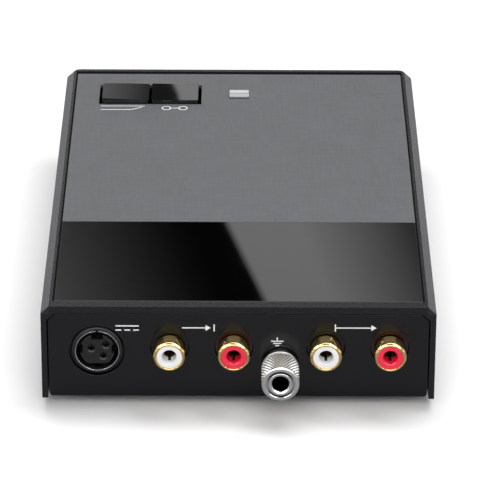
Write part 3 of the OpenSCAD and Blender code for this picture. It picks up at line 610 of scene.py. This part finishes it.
def tucked(name, limit):
    """The node's mesh with everything in front of a limit pushed back to it."""
    shape = merged_copy(name)
    for point in shape.verts:
        point.co.y = max(point.co.y, limit)
    bmesh.ops.remove_doubles(shape, verts=shape.verts, dist=MERGE_DISTANCE)
    return shape


def section_at(shape, section, axis, turn):
    """A section's (along, radius) points, turned about an axis along Y."""
    return [
        shape.verts.new((axis.x + radius * math.cos(turn), along, axis.z + radius * math.sin(turn)))
        for along, radius in section
    ]


def join_sections(shape, here, there, closed=True):
    """Four-sided faces between two neighbouring sections."""
    count = len(here)
    for corner in range(count if closed else count - 1):
        after = (corner + 1) % count
        shape.faces.new((here[corner], here[after], there[after], there[corner]))


def turned(shape, section, axis, steps, closed=True):
    """Turns a section all the way round an axis along Y, and returns its copies."""
    rings = [section_at(shape, section, axis, TURN * step / steps) for step in range(steps)]
    for step in range(steps):
        join_sections(shape, rings[step], rings[(step + 1) % steps], closed)
    return rings


softened("top_cover", 0.32 * MM)
softened("chassis", 0.15 * MM, shape=tight_fold())
softened("matte_plate", 0.08 * MM, shape=shorter_plate())
softened("gloss_plate", 0.2 * MM)
softened("filter_key", 0.3 * MM, shape=settled_key())
softened("mono_key", 0.3 * MM, shape=level_key())
softened("light_pipe", 0.25 * MM)
for place in ("socket_left", "socket_right", "control_left", "control_right"):
    softened("foot_" + place, 0.7 * MM, steps=5)
softened("ground_post", 0.22 * MM)
softened("ground_washer", 0.15 * MM)

# ---------------------------------------------------------------- sockets

PANEL_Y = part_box("chassis")[0].y


def sector(shape, section, axis, start, end, steps):
    """Part of a ring about an axis along Y, with closed ends."""
    turns = [start + (end - start) * step / steps for step in range(steps + 1)]
    rings = [section_at(shape, section, axis, turn) for turn in turns]
    for here, there in zip(rings, rings[1:]):
        join_sections(shape, here, there)
    shape.faces.new(rings[0])
    shape.faces.new(rings[-1])


def smooth(piece, angle=35):
    """Shades a turned piece smoothly except at its sharp edges."""
    for face in piece.data.polygons:
        face.use_smooth = True
    shape = bmesh.new()
    shape.from_mesh(piece.data)
    for edge in shape.edges:
        edge.smooth = len(edge.link_faces) == 2 and edge.calc_face_angle(0) < math.radians(angle)
    shape.to_mesh(piece.data)
    shape.free()
    return piece


def turned_piece(name, section, axis, finish, steps=96):
    """A smooth closed ring as an object."""
    shape = bmesh.new()
    turned(shape, section, axis, steps)
    return smooth(object_of(name, shape, finish))


def signal_socket(jack, tint, housing):
    """One phono socket: bevelled barrel, funnelled core, a black strip of painted shade at the bottom
    of its bore where a slit would lie dark, sleeve, contact and housing.
    """
    axis = box_centre(jack + "_barrel")
    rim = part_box(jack + "_barrel")[0].y
    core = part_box(jack + "_body")[0].y
    bore, skin, hole = 3.3 * MM, 4.15 * MM, 1.7 * MM
    shank = skin - 0.3 * MM
    barrel_back = rim + 10.4 * MM
    mouth_back, core_back = core + 3.3 * MM, core + 7.2 * MM
    contact_front, contact_bend, contact_back = core + 3.35 * MM, core + 3.6 * MM, core + 11 * MM
    sleeve_front, sleeve_back = core + 3.32 * MM, core + 7.1 * MM
    slit_front, slit_back, slit_half = core + 1.5 * MM, core + 3.5 * MM, 0.22
    barrel = turned_piece(
        jack + "_barrel_turned",
        [
            (rim + 0.22 * MM, bore), (rim + 0.05 * MM, bore + 0.05 * MM), (rim, bore + 0.12 * MM),
            (rim, skin - 0.5 * MM), (rim + 0.04 * MM, skin - 0.42 * MM),
            (rim + 0.46 * MM, skin - 0.06 * MM), (rim + 0.58 * MM, skin),
            (PANEL_Y, skin), (PANEL_Y + 0.02 * MM, shank), (barrel_back, shank), (barrel_back, bore),
        ],
        axis,
        "barrel_gilt",
    )
    stand_for(barrel, jack + "_barrel")
    funnel = turned_piece(
        jack + "_core_turned",
        [
            (core + 0.12 * MM, bore - 0.01 * MM), (core + 0.03 * MM, bore - 0.05 * MM),
            (core, bore - 0.14 * MM), (core, hole + 0.72 * MM), (core + 0.04 * MM, hole + 0.5 * MM),
            (core + 0.16 * MM, hole + 0.3 * MM), (core + 0.38 * MM, hole + 0.14 * MM),
            (core + 0.7 * MM, hole + 0.04 * MM), (core + 1.0 * MM, hole),
            (mouth_back, hole), (mouth_back, hole + 0.34 * MM),
            (core_back, hole + 0.34 * MM), (core_back, bore - 0.01 * MM),
        ],
        axis,
        tint,
    )
    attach(funnel, "case")
    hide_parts(jack + "_body")
    back = object_of(
        jack + "_housing", tucked(jack + "_body", PANEL_Y + 0.75 * MM), housing
    )
    round_edges(back, 0.1 * MM)
    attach(back, "case")
    shape = bmesh.new()
    leaf = [
        (contact_front, hole + 0.22 * MM), (contact_front, hole + 0.06 * MM),
        (contact_bend, hole - 0.06 * MM), (contact_back, hole - 0.06 * MM),
        (contact_back, hole + 0.25 * MM), (contact_bend, hole + 0.25 * MM),
    ]
    gap = 0.15
    for quarter in range(4):
        middle = TURN * quarter / 4 + TURN / 8
        sector(shape, leaf, axis, middle - TURN / 8 + gap, middle + TURN / 8 - gap, 10)
    contact = smooth(object_of(jack + "_contact_split", shape, "contact_gilt"))
    stand_for(contact, jack + "_contact")
    sleeve = turned_piece(
        jack + "_sleeve",
        [
            (sleeve_front, hole + 0.33 * MM), (sleeve_front, hole + 0.25 * MM),
            (sleeve_back, hole + 0.25 * MM), (sleeve_back, hole + 0.33 * MM),
        ],
        axis,
        "moulding_black",
        48,
    )
    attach(sleeve, "case")
    # Painted shade: a thin black strip on the bottom of the white bore draws the dark line where a
    # slit would be in shade.
    slit_shade_section = [
        (slit_front, hole - 0.03 * MM), (slit_back, hole - 0.03 * MM),
        (slit_back, hole + 0.05 * MM), (slit_front, hole + 0.05 * MM),
    ]
    shape = bmesh.new()
    sector(shape, slit_shade_section, axis, -TURN / 4 - slit_half, -TURN / 4 + slit_half, 4)
    slit_shade_strip = object_of(jack + "_groove", shape, "moulding_black")
    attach(slit_shade_strip, "case")


def window_shadow_strip():
    """A black strip along the light window's near side: painted shadow, for the shadow line in the
    gap between the window and the plate.
    """
    near, far = window_face()
    # Painted shadow: a dark strip where the gap between the window and the plate lies in shadow.
    width, depth, height = 1.05 * MM, 0.5 * MM, 0.03 * MM
    shadow_strip = solid_box(
        "window_shadow_strip",
        (near.x, near.y - width, near.z - depth),
        (far.x, near.y + 0.05 * MM, near.z + height),
        "foot_rubber",
    )
    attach(shadow_strip, "case")


for pair in ("input", "output"):
    signal_socket(pair + "_left", "jack_white", "moulding_black")
    signal_socket(pair + "_right", "jack_red", "ring_red")


def carved(piece, cutters):
    """The piece with the cutters' shapes taken out of it."""
    for cutter in cutters:
        cut = piece.modifiers.new("cut", "BOOLEAN")
        cut.operation = "DIFFERENCE"
        cut.solver = "EXACT"
        cut.object = cutter
    made = plain_copy(piece, piece.name + "_carved")
    for cutter in cutters:
        bpy.data.objects.remove(cutter)
    return made


def plain_copy(source, name):
    """The evaluated mesh of an object as an object of its own, without its modifiers."""
    bpy.context.view_layer.update()
    seen = source.evaluated_get(bpy.context.evaluated_depsgraph_get())
    mesh = bpy.data.meshes.new_from_object(seen)
    mesh.name = name
    piece = bpy.data.objects.new(name, mesh)
    scene.collection.objects.link(piece)
    bpy.data.objects.remove(source)
    return piece


def solid_box(name, low, high, finish):
    """A block between two corners."""
    shape = bmesh.new()
    corners = [
        shape.verts.new((x, y, z))
        for x in (low[0], high[0]) for y in (low[1], high[1]) for z in (low[2], high[2])
    ]
    for face in ((0, 1, 3, 2), (4, 6, 7, 5), (0, 4, 5, 1), (2, 3, 7, 6), (0, 2, 6, 4), (1, 5, 7, 3)):
        shape.faces.new([corners[index] for index in face])
    return object_of(name, shape, finish)


def turned_solid(name, section, axis, finish, steps=48):
    """A closed body about an axis along Y, with a flat face at each end of its section."""
    shape = bmesh.new()
    rings = turned(shape, section, axis, steps, closed=False)
    shape.faces.new([ring[0] for ring in rings])
    shape.faces.new([ring[-1] for ring in rings])
    return object_of(name, shape, finish)


window_shadow_strip()
POWER_FORWARD = 0.65 * MM


def power_socket():
    """The power socket: rounded black ring, thin open shell, and a keyed core with three contacts."""
    axis = box_centre("power_socket_shell")
    low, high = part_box("power_socket_body")
    front = low.y - POWER_FORWARD
    ring = turned_piece(
        "power_socket_ring",
        [
            (front + 0.5 * MM, 5.8 * MM), (front + 0.16 * MM, 5.86 * MM), (front, 6.05 * MM),
            (front, 6.25 * MM), (front + 0.12 * MM, 6.5 * MM), (front + 0.4 * MM, 6.7 * MM),
            (front + 0.7 * MM, 6.75 * MM), (front + 3.4 * MM, 6.75 * MM),
            (front + 3.4 * MM, 5.8 * MM),
        ],
        axis,
        "moulding_black",
    )
    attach(ring, "case")
    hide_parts("power_socket_body")
    back = object_of(
        "power_socket_housing", tucked("power_socket_body", front + 1.4 * MM), "moulding_black"
    )
    round_edges(back, 0.15 * MM)
    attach(back, "case")
    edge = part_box("power_socket_shell")[0].y - POWER_FORWARD
    shell_back = edge + 8.5 * MM
    outer, inner = 5.75 * MM, 5.5 * MM
    shell = bmesh.new()
    seam = 0.05
    sector(
        shell,
        [
            (edge + 0.1 * MM, outer), (edge, outer - 0.07 * MM), (edge, inner + 0.07 * MM),
            (edge + 0.1 * MM, inner), (shell_back, inner), (shell_back, outer),
        ],
        axis,
        TURN / 4 + seam,
        TURN * 5 / 4 - seam,
        96,
    )
    stand_for(
        smooth(object_of("power_socket_shell_open", shell, "shell_nickel")), "power_socket_shell"
    )
    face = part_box("power_socket_core")[0].y - POWER_FORWARD
    depth, radius, break_edge = 8 * MM, 4.5 * MM, 0.08 * MM
    core = turned_solid(
        "power_socket_core_keyed",
        [(face, radius - break_edge), (face + break_edge, radius), (face + depth, radius)],
        axis,
        "core_black",
        72,
    )

    notch_depth = 5 * MM

    def notch(x0, x1, z0, z1):
        """Cutter of a keyway, between two corners in millimetres from the axis."""
        low_corner = (axis.x + x0 * MM, face - MM, axis.z + z0 * MM)
        high_corner = (axis.x + x1 * MM, face + notch_depth, axis.z + z1 * MM)
        return solid_box("notch", low_corner, high_corner, "core_black")

    pins = [(-1.55, 0.44), (2.26, 1.43), (1.52, -1.77)]
    hole_axes = [Vector((axis.x + x * MM, 0, axis.z + z * MM)) for x, z in pins]
    funnel = [
        (face - 0.2 * MM, 1.32 * MM), (face, 1.16 * MM), (face + 0.34 * MM, 0.8 * MM),
        (face + 6 * MM, 0.8 * MM),
    ]
    cutters = [
        notch(-1.5, 1.5, 3.0, 5), notch(-5, -3.7, -0.9, 1.5), notch(3.7, 5, -0.9, 1.5),
        notch(-2.2, 2.2, -5, -3.85),
    ]
    for hole_axis in hole_axes:
        cutters.append(turned_solid("funnel", funnel, hole_axis, "core_black", 32))
    core = carved(core, cutters)
    stand_for(round_edges(core, 0.06 * MM, 30, 2), "power_socket_core")
    leaf = [
        (face + 2.6 * MM, 0.78 * MM), (face + 2.6 * MM, 0.62 * MM),
        (face + 5.8 * MM, 0.62 * MM), (face + 5.8 * MM, 0.78 * MM),
    ]
    gap = 0.25
    shape = bmesh.new()
    for hole_axis in hole_axes:
        for half in (0, 1):
            start = TURN * half / 2 - TURN / 4 + gap
            sector(shape, leaf, hole_axis, start, start + TURN / 2 - 2 * gap, 12)
    contacts = smooth(object_of("power_socket_contacts_split", shape, "contact_gilt"))
    stand_for(contacts, "power_socket_contacts")


power_socket()


def knurl_tree(finish):
    """Geometry Nodes group that covers a turned body with diamond-shaped studs in staggered rings."""
    tree = bpy.data.node_groups.new("diamond_knurl", "GeometryNodeTree")
    faces = tree.interface
    faces.new_socket("Geometry", in_out="INPUT", socket_type="NodeSocketGeometry")
    for label, kind in (
        ("Studs Round", "NodeSocketInt"),
        ("Rings", "NodeSocketInt"),
        ("Root Radius", "NodeSocketFloat"),
        ("Stud Height", "NodeSocketFloat"),
        ("Start", "NodeSocketFloat"),
        ("Ring Pitch", "NodeSocketFloat"),
        ("Axis", "NodeSocketVector"),
    ):
        faces.new_socket(label, in_out="INPUT", socket_type=kind)
    faces.new_socket("Geometry", in_out="OUTPUT", socket_type="NodeSocketGeometry")
    source = tree.nodes.new("NodeGroupInput").outputs

    def node(kind, settings, sockets):
        return add_node(tree, kind, settings, sockets)

    def count(operation, *values):
        return node("ShaderNodeMath", {"operation": operation}, dict(enumerate(values)))

    index = node("GeometryNodeInputIndex", {}, {})
    total = count("MULTIPLY", source["Studs Round"], source["Rings"])
    ring = count("FLOOR", count("DIVIDE", count("ADD", index, 0.5), source["Studs Round"]))
    half_step = count("MULTIPLY", count("MODULO", ring, 2.0), 0.5)
    share = count("DIVIDE", count("ADD", index, half_step), source["Studs Round"])
    turn = count("MULTIPLY", share, TURN)
    along = count("ADD", source["Start"], count("MULTIPLY", ring, source["Ring Pitch"]))
    out_x = count("MULTIPLY", count("COSINE", turn), source["Root Radius"])
    out_z = count("MULTIPLY", count("SINE", turn), source["Root Radius"])
    offset = node("ShaderNodeCombineXYZ", {}, {0: out_x, 1: along, 2: out_z})
    spot = node(
        "ShaderNodeVectorMath", {"operation": "ADD"}, {0: offset, 1: source["Axis"]}
    )
    cloud = node("GeometryNodePoints", {}, {"Count": total, "Position": spot})
    round_width = count(
        "DIVIDE", count("MULTIPLY", source["Root Radius"], TURN), source["Studs Round"]
    )
    tip_share, foot_share, sunk_share = 0.07, 0.66, 0.45
    stud = node(
        "GeometryNodeMeshCone",
        {"fill_type": "NGON"},
        {
            "Vertices": 4,
            "Radius Top": count("MULTIPLY", round_width, tip_share),
            "Radius Bottom": count("MULTIPLY", round_width, foot_share),
            "Depth": count("MULTIPLY", source["Stud Height"], 1 + sunk_share),
        },
    )
    stretch = count("DIVIDE", source["Ring Pitch"], count("MULTIPLY", round_width, 0.5))
    sunk = count("MULTIPLY", source["Stud Height"], -sunk_share)
    shaped = node(
        "GeometryNodeTransform",
        {},
        {
            "Geometry": stud,
            "Translation": node("ShaderNodeCombineXYZ", {}, {2: sunk}),
            "Scale": node("ShaderNodeCombineXYZ", {}, {0: 1.0, 1: stretch, 2: 1.0}),
        },
    )
    laid = node("GeometryNodeTransform", {}, {"Geometry": shaped, "Rotation": (0, TURN / 4, 0)})
    spin = node("ShaderNodeCombineXYZ", {}, {1: count("MULTIPLY", turn, -1.0)})
    studs = node(
        "GeometryNodeInstanceOnPoints",
        {},
        {"Points": cloud, "Instance": laid, "Rotation": spin},
    )
    real = node("GeometryNodeRealizeInstances", {}, {"Geometry": studs})
    joined = tree.nodes.new("GeometryNodeJoinGeometry")
    tree.links.new(real, joined.inputs[0])
    tree.links.new(source["Geometry"], joined.inputs[0])
    dressed = node(
        "GeometryNodeSetMaterial", {}, {"Geometry": joined.outputs[0], "Material": finish}
    )
    tree.links.new(dressed, tree.nodes.new("NodeGroupOutput").inputs[0])
    return tree


def knurled_nut():
    """The ground nut: smooth chamfered ends, and diamond knurling between them."""
    low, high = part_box("ground_nut")
    radius = (high.x - low.x) / 2
    front, back = low.y, high.y
    axis = Vector((POST_CENTRE.x, 0, (low.z + high.z) / 2))
    bore, mouth, mouth_depth = 3.25 * MM, 3.7 * MM, 3 * MM
    root = radius - KNURL_HEIGHT
    section = [
        (front + 0.12 * MM, mouth), (front, mouth + 0.12 * MM),
        (front, radius - 0.5 * MM), (front + 0.06 * MM, radius - 0.3 * MM),
        (front + 0.3 * MM, radius - 0.08 * MM), (front + 0.42 * MM, radius - 0.03 * MM),
        (front + NUT_LAND - 0.08 * MM, radius - 0.03 * MM), (front + NUT_LAND, radius - 0.12 * MM),
        (front + NUT_LAND + 0.06 * MM, root - 0.05 * MM),
        (back - NUT_LAND, root - 0.05 * MM), (back - NUT_LAND + 0.06 * MM, radius - 0.05 * MM),
        (back - 0.5 * MM, radius - 0.02 * MM), (back - 0.05 * MM, radius - 0.45 * MM),
        (back, radius - 0.6 * MM), (back, bore + 0.1 * MM), (back - 0.1 * MM, bore),
        (front + mouth_depth, bore), (front + mouth_depth, mouth),
    ]
    shape = bmesh.new()
    turned(shape, section, axis, 96)
    body = smooth(object_of("ground_nut_body", shape, "terminal_nickel"))
    rings = 9
    room = (back - front) - 2 * NUT_LAND
    pitch = room / (rings + 1)
    knurl = body.modifiers.new("knurl", "NODES")
    knurl.node_group = knurl_tree(FINISHES["terminal_nickel"].material)
    values = {
        "Studs Round": 38,
        "Rings": rings,
        "Root Radius": root,
        "Stud Height": KNURL_HEIGHT,
        "Start": front + NUT_LAND + pitch,
        "Ring Pitch": pitch,
        "Axis": axis,
    }
    for item in knurl.node_group.interface.items_tree:
        if item.in_out == "INPUT" and item.name in values:
            knurl[item.identifier] = values[item.name]
    return plain_copy(body, "ground_nut_knurled")


stand_for(knurled_nut(), "ground_nut")

# ---------------------------------------------------------------- printed marks

INK = 0.02 * MM


def bar(start, end, width):
    """Corners of a straight stroke."""
    first, last = Vector(start), Vector(end)
    side = (last - first).orthogonal().normalized() * (width / 2)
    return [first - side, last - side, last + side, first + side]


def arrow(tail, tip, width, head):
    """A stroke and its triangular head."""
    first, last = Vector(tail), Vector(tip)
    along = (last - first).normalized()
    side = along.orthogonal() * (head / 2)
    neck = last - along * head * 0.8
    return [bar(first, neck, width), [neck - side, last, neck + side]]


def hoop(centre, radius, width, steps=32):
    """Four-sided pieces of a ring."""
    made = []
    for step in range(steps):
        corners = []
        for turn, reach in ((0, -0.5), (1, -0.5), (1, 0.5), (0, 0.5)):
            angle = TURN * (step + turn) / steps
            far = radius + reach * width
            corners.append(Vector(centre) + Vector((math.cos(angle), math.sin(angle))) * far)
        made.append(corners)
    return made


def printed(name, outlines, place):
    """Thin raised ink from flat outlines. place() turns a flat point and a height into space."""
    shape = bmesh.new()
    for outline in outlines:
        foot = [shape.verts.new(place(point, -INK)) for point in outline]
        top = [shape.verts.new(place(point, INK)) for point in outline]
        shape.faces.new(foot)
        shape.faces.new(top)
        for corner in range(len(outline)):
            after = (corner + 1) % len(outline)
            shape.faces.new((foot[corner], foot[after], top[after], top[corner]))
    bmesh.ops.remove_doubles(shape, verts=shape.verts, dist=0.001 * MM)
    piece = object_of(name, shape, "print_white")
    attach(piece, "case")
    return piece


PLATE_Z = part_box("matte_plate")[1].z
SHEET_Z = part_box("chassis")[0].z


def on_panel(x, z):
    """Places flat points on the socket panel about a point there."""
    def place(point, height):
        return Vector((x * MM + point.x * MM, PANEL_Y - height, SHEET_Z + z * MM + point.y * MM))
    return place


def on_plate(x, y):
    """Places flat points on the matte plate, to be read from the control end."""
    def place(point, height):
        return Vector((x * MM - point.x * MM, y * MM - point.y * MM, PLATE_Z + height))
    return place


# Strokes and places of the marks are in millimetres.
STROKE = 0.34
printed(
    "mark_power",
    [bar((-3, 0.6), (3, 0.6), STROKE)]
    + [bar((x - 0.75, -0.6), (x + 0.75, -0.6), STROKE) for x in (-2.25, 0, 2.25)],
    on_panel(-28.6, 20.3),
)
printed(
    "mark_input",
    arrow((-4.2, 0), (3.2, 0), STROKE, 1.7) + [bar((4.05, -1), (4.05, 1), STROKE)],
    on_panel(-10.3, 20.4),
)
printed(
    "mark_ground",
    [bar((0, 0), (0, 1.1), STROKE)]
    + [bar((-w, y), (w, y), STROKE) for w, y in ((1.6, 0), (1.05, -0.62), (0.5, -1.24))],
    on_panel(10.0, 16.6),
)
printed(
    "mark_output",
    [bar((-5.2, -1), (-5.2, 1), STROKE)] + arrow((-5.0, 0), (5.4, 0), STROKE, 1.7),
    on_panel(30.1, 20.5),
)
printed(
    "mark_filter",
    [
        bar((-6.3, -1.35), (6.3, -1.35), STROKE),
        bar((-5.6, -0.7), (-2.6, 1.15), STROKE),
        bar((-2.75, 1.15), (6.3, 1.15), STROKE),
    ],
    on_plate(-33.6, 52.7),
)
printed(
    "mark_mono",
    hoop((-2.4, 0), 1.2, STROKE) + hoop((2.4, 0), 1.2, STROKE) + [bar((-1.1, 0), (1.1, 0), STROKE)],
    on_plate(-18.6, 52.7),
)

# ---------------------------------------------------------------- stage

WHITE = (1, 1, 1, 1)
DIM_SKY = (0.3, 0.3, 0.305, 1)
HALF_LIGHT = (0.37, 0.37, 0.375, 1)


def plain_stage(name, corners, material):
    """A flat four-cornered stage piece."""
    mesh = bpy.data.meshes.new(name)
    mesh.from_pydata([Vector(corner) for corner in corners], [], [(0, 1, 2, 3)])
    mesh.materials.append(material)
    piece = bpy.data.objects.new(name, mesh)
    scene.collection.objects.link(piece)
    return piece


def floor_material():
    """Floor: white to the camera, pale where it throws light, and grey where it is mirrored."""
    pale = (0.8, 0.8, 0.8)
    mirrored_grey = (0.32, 0.32, 0.335, 1)
    finish = Finish("floor_pale", pale, {"Specular IOR Level": 0.0, "Roughness": 0.9})
    seen = finish.node("ShaderNodeLightPath", output=0)
    mirrored = finish.node("ShaderNodeLightPath", output=3)
    tone = finish.mix(mirrored, (*pale, 1), mirrored_grey)
    finish.set("Base Color", finish.mix(seen, tone, WHITE))
    return finish.material


FLOOR_HALF = 3
plain_stage(
    "floor",
    [(x * FLOOR_HALF, y * FLOOR_HALF, 0) for x, y in ((-1, -1), (1, -1), (1, 1), (-1, 1))],
    floor_material(),
)


def card_material():
    """Glowing card behind the set, seen only as the reflections in the polished plate and keys.

    The gloss plate mirrors its upper part: bright to the right of a slanted edge, which shifts
    where the plate's far half mirrors it. The keys mirror its lowest part. All is in metres.
    """
    finish = Finish("card_cloth", (0, 0, 0), {"Specular IOR Level": 0.0, "Roughness": 1.0})
    edge_height, edge_slope, edge_shift, edge_half = 0.4769, 0.424, 0.0064, 0.0023
    bend_top, bend_end = 0.45, 0.43
    bend_shift, bend_level, bend_slope = 0.00455, 0.4, 0.064
    lean_height, lean_slope = 0.4826, 0.36
    right_light, fade_start, fade_rate = 1.21, 0.036, 16
    left_width, left_start, left_power, left_light = 0.079, 0.278, 1.7, 0.28
    corner_light, glow = 0.4, 0.05
    key_top, key_edge, key_rate, key_base, key_share = 0.385, -0.0192, 20.5, 0.156, 0.83
    spot = finish.place()
    across = finish.axis(spot, "X")
    height = finish.axis(spot, "Z")
    lowered = (0 - height).between(-bend_top, -bend_end)
    edge = across - (height - edge_height) * edge_slope + edge_shift
    bend = bend_shift - (height - bend_level) * bend_slope
    edge = (edge - lowered * bend) * (lowered + 1)
    lean = across - (height - lean_height) * lean_slope
    right = edge.between(-edge_half, edge_half)
    fall = right_light - (lean - fade_start).math("MAXIMUM", 0) * fade_rate
    left = ((0 - lean) * (1 / left_width) - left_start).math("MAXIMUM", 0)
    left = left.math("POWER", left_power) * left_light
    corner = (0 - across).between(0.078, 0.108) * (0 - height).between(-0.44, -0.41) * corner_light
    dark_side = (left + corner + lowered * glow) * (1 - right)
    plate_light = fall.math("MAXIMUM", glow) * right + dark_side
    key_light = ((key_edge - across) * key_rate + key_base).math("MAXIMUM", glow)
    under = height < key_top
    light = plate_light * (1 - under) + key_light * under * key_share
    finish.shader.inputs["Emission Strength"].default_value = 1.0
    grey = finish.node("ShaderNodeCombineXYZ", {}, {0: light, 1: light, 2: light})
    finish.set("Emission Color", grey)
    return finish.material


CARD_Y = 0.9
CARD_HALF = 0.2
CARD_LOW = 0.33
CARD_HIGH = 0.6
card = plain_stage(
    "card",
    (
        (-CARD_HALF, CARD_Y, CARD_LOW), (CARD_HALF, CARD_Y, CARD_LOW),
        (CARD_HALF, CARD_Y, CARD_HIGH), (-CARD_HALF, CARD_Y, CARD_HIGH),
    ),
    card_material(),
)
for ray in ("camera", "diffuse", "shadow", "transmission"):
    setattr(card, "visible_" + ray, False)


def studio_world():
    """White round the horizon and to the camera, dim overhead, and half light for matt surfaces."""
    world = bpy.data.worlds.new("studio")
    world.use_nodes = True
    tree = world.node_tree
    horizon, dim_from = 0.08, 0.36

    def mix(amount, first, second):
        """Colour that goes from first to second as amount goes from 0 to 1."""
        sockets = {0: amount, 6: first, 7: second}
        return add_node(tree, "ShaderNodeMix", {"data_type": "RGBA"}, sockets, 2)

    rays = tree.nodes.new("ShaderNodeLightPath").outputs
    way = add_node(tree, "ShaderNodeTexCoord")
    height = add_node(tree, "ShaderNodeSeparateXYZ", {}, {0: way}, 2)
    sockets = {0: height, 1: horizon, 2: dim_from}
    rise = add_node(tree, "ShaderNodeMapRange", {"clamp": True}, sockets)
    lit = mix(rays["Is Glossy Ray"], HALF_LIGHT, mix(rise, WHITE, DIM_SKY))
    direct = {0: rays["Is Camera Ray"], 1: rays["Is Transmission Ray"]}
    clear = add_node(tree, "ShaderNodeMath", {"operation": "MAXIMUM"}, direct)
    tree.links.new(mix(clear, lit, WHITE), tree.nodes["Background"].inputs["Color"])
    scene.world = world


studio_world()


def softbox(name, place, target, width, height, brightness):
    """A soft rectangular lamp that faces a point. At brightness 1 its face is plain white."""
    lamp = bpy.data.lights.new(name, "AREA")
    lamp.shape = "RECTANGLE"
    lamp.size = width
    lamp.size_y = height
    lamp.energy = brightness * width * height * math.pi
    holder = bpy.data.objects.new(name, lamp)
    holder.location = place
    holder.rotation_euler = (Vector(target) - Vector(place)).to_track_quat("-Z", "Y").to_euler()
    holder.visible_camera = False
    scene.collection.objects.link(holder)
    return holder


CASE = (0, -0.06, 0.015)
softbox("overhead", (0.1, 0.2, 1.12), (0, -0.02, 0), 1.1, 0.5, 5.3)
softbox("front_fill", (0, -1.16, 0.92), CASE, 1.3, 0.7, 3.6)
glints = (
    softbox("left_box", (-0.72, -0.5, 0.8), CASE, 0.62, 0.9, 3.0),
    softbox("right_box", (0.72, -0.5, 0.8), CASE, 0.62, 0.9, 3.4),
    softbox("side_box", (-1.06, 0.06, 0.64), CASE, 0.6, 0.6, 3.4),
)
# These three only show as reflections.
for glint in glints:
    glint.visible_diffuse = False

# ---------------------------------------------------------------- camera


def photo_camera():
    """A camera at the photograph's viewing angle, as fitted to the case's edges."""
    tilt, yaw, roll = 0.457043, -0.000695, 0.003984
    place = (-0.000241, -0.861077, 0.436862)
    focal_length, sensor_width = 259.99, 36
    forward = Vector((0, math.cos(tilt), -math.sin(tilt)))
    up = Vector((0, math.sin(tilt), math.cos(tilt)))
    right = Vector((1, 0, 0))
    swing = Matrix.Rotation(yaw, 3, "Z")
    forward, up, right = swing @ forward, swing @ up, swing @ right
    level = math.cos(roll) * right + math.sin(roll) * up
    upright = -math.sin(roll) * right + math.cos(roll) * up
    turn = Matrix((level, upright, -forward)).transposed()
    lens = bpy.data.cameras.new("photo_view")
    lens.sensor_width = sensor_width
    lens.lens = focal_length
    lens.clip_start = 0.01
    lens.clip_end = 20
    camera = bpy.data.objects.new("photo_view", lens)
    camera.matrix_world = Matrix.Translation(place) @ turn.to_4x4()
    scene.collection.objects.link(camera)
    scene.camera = camera


photo_camera()
scene.view_settings.view_transform = "Standard"
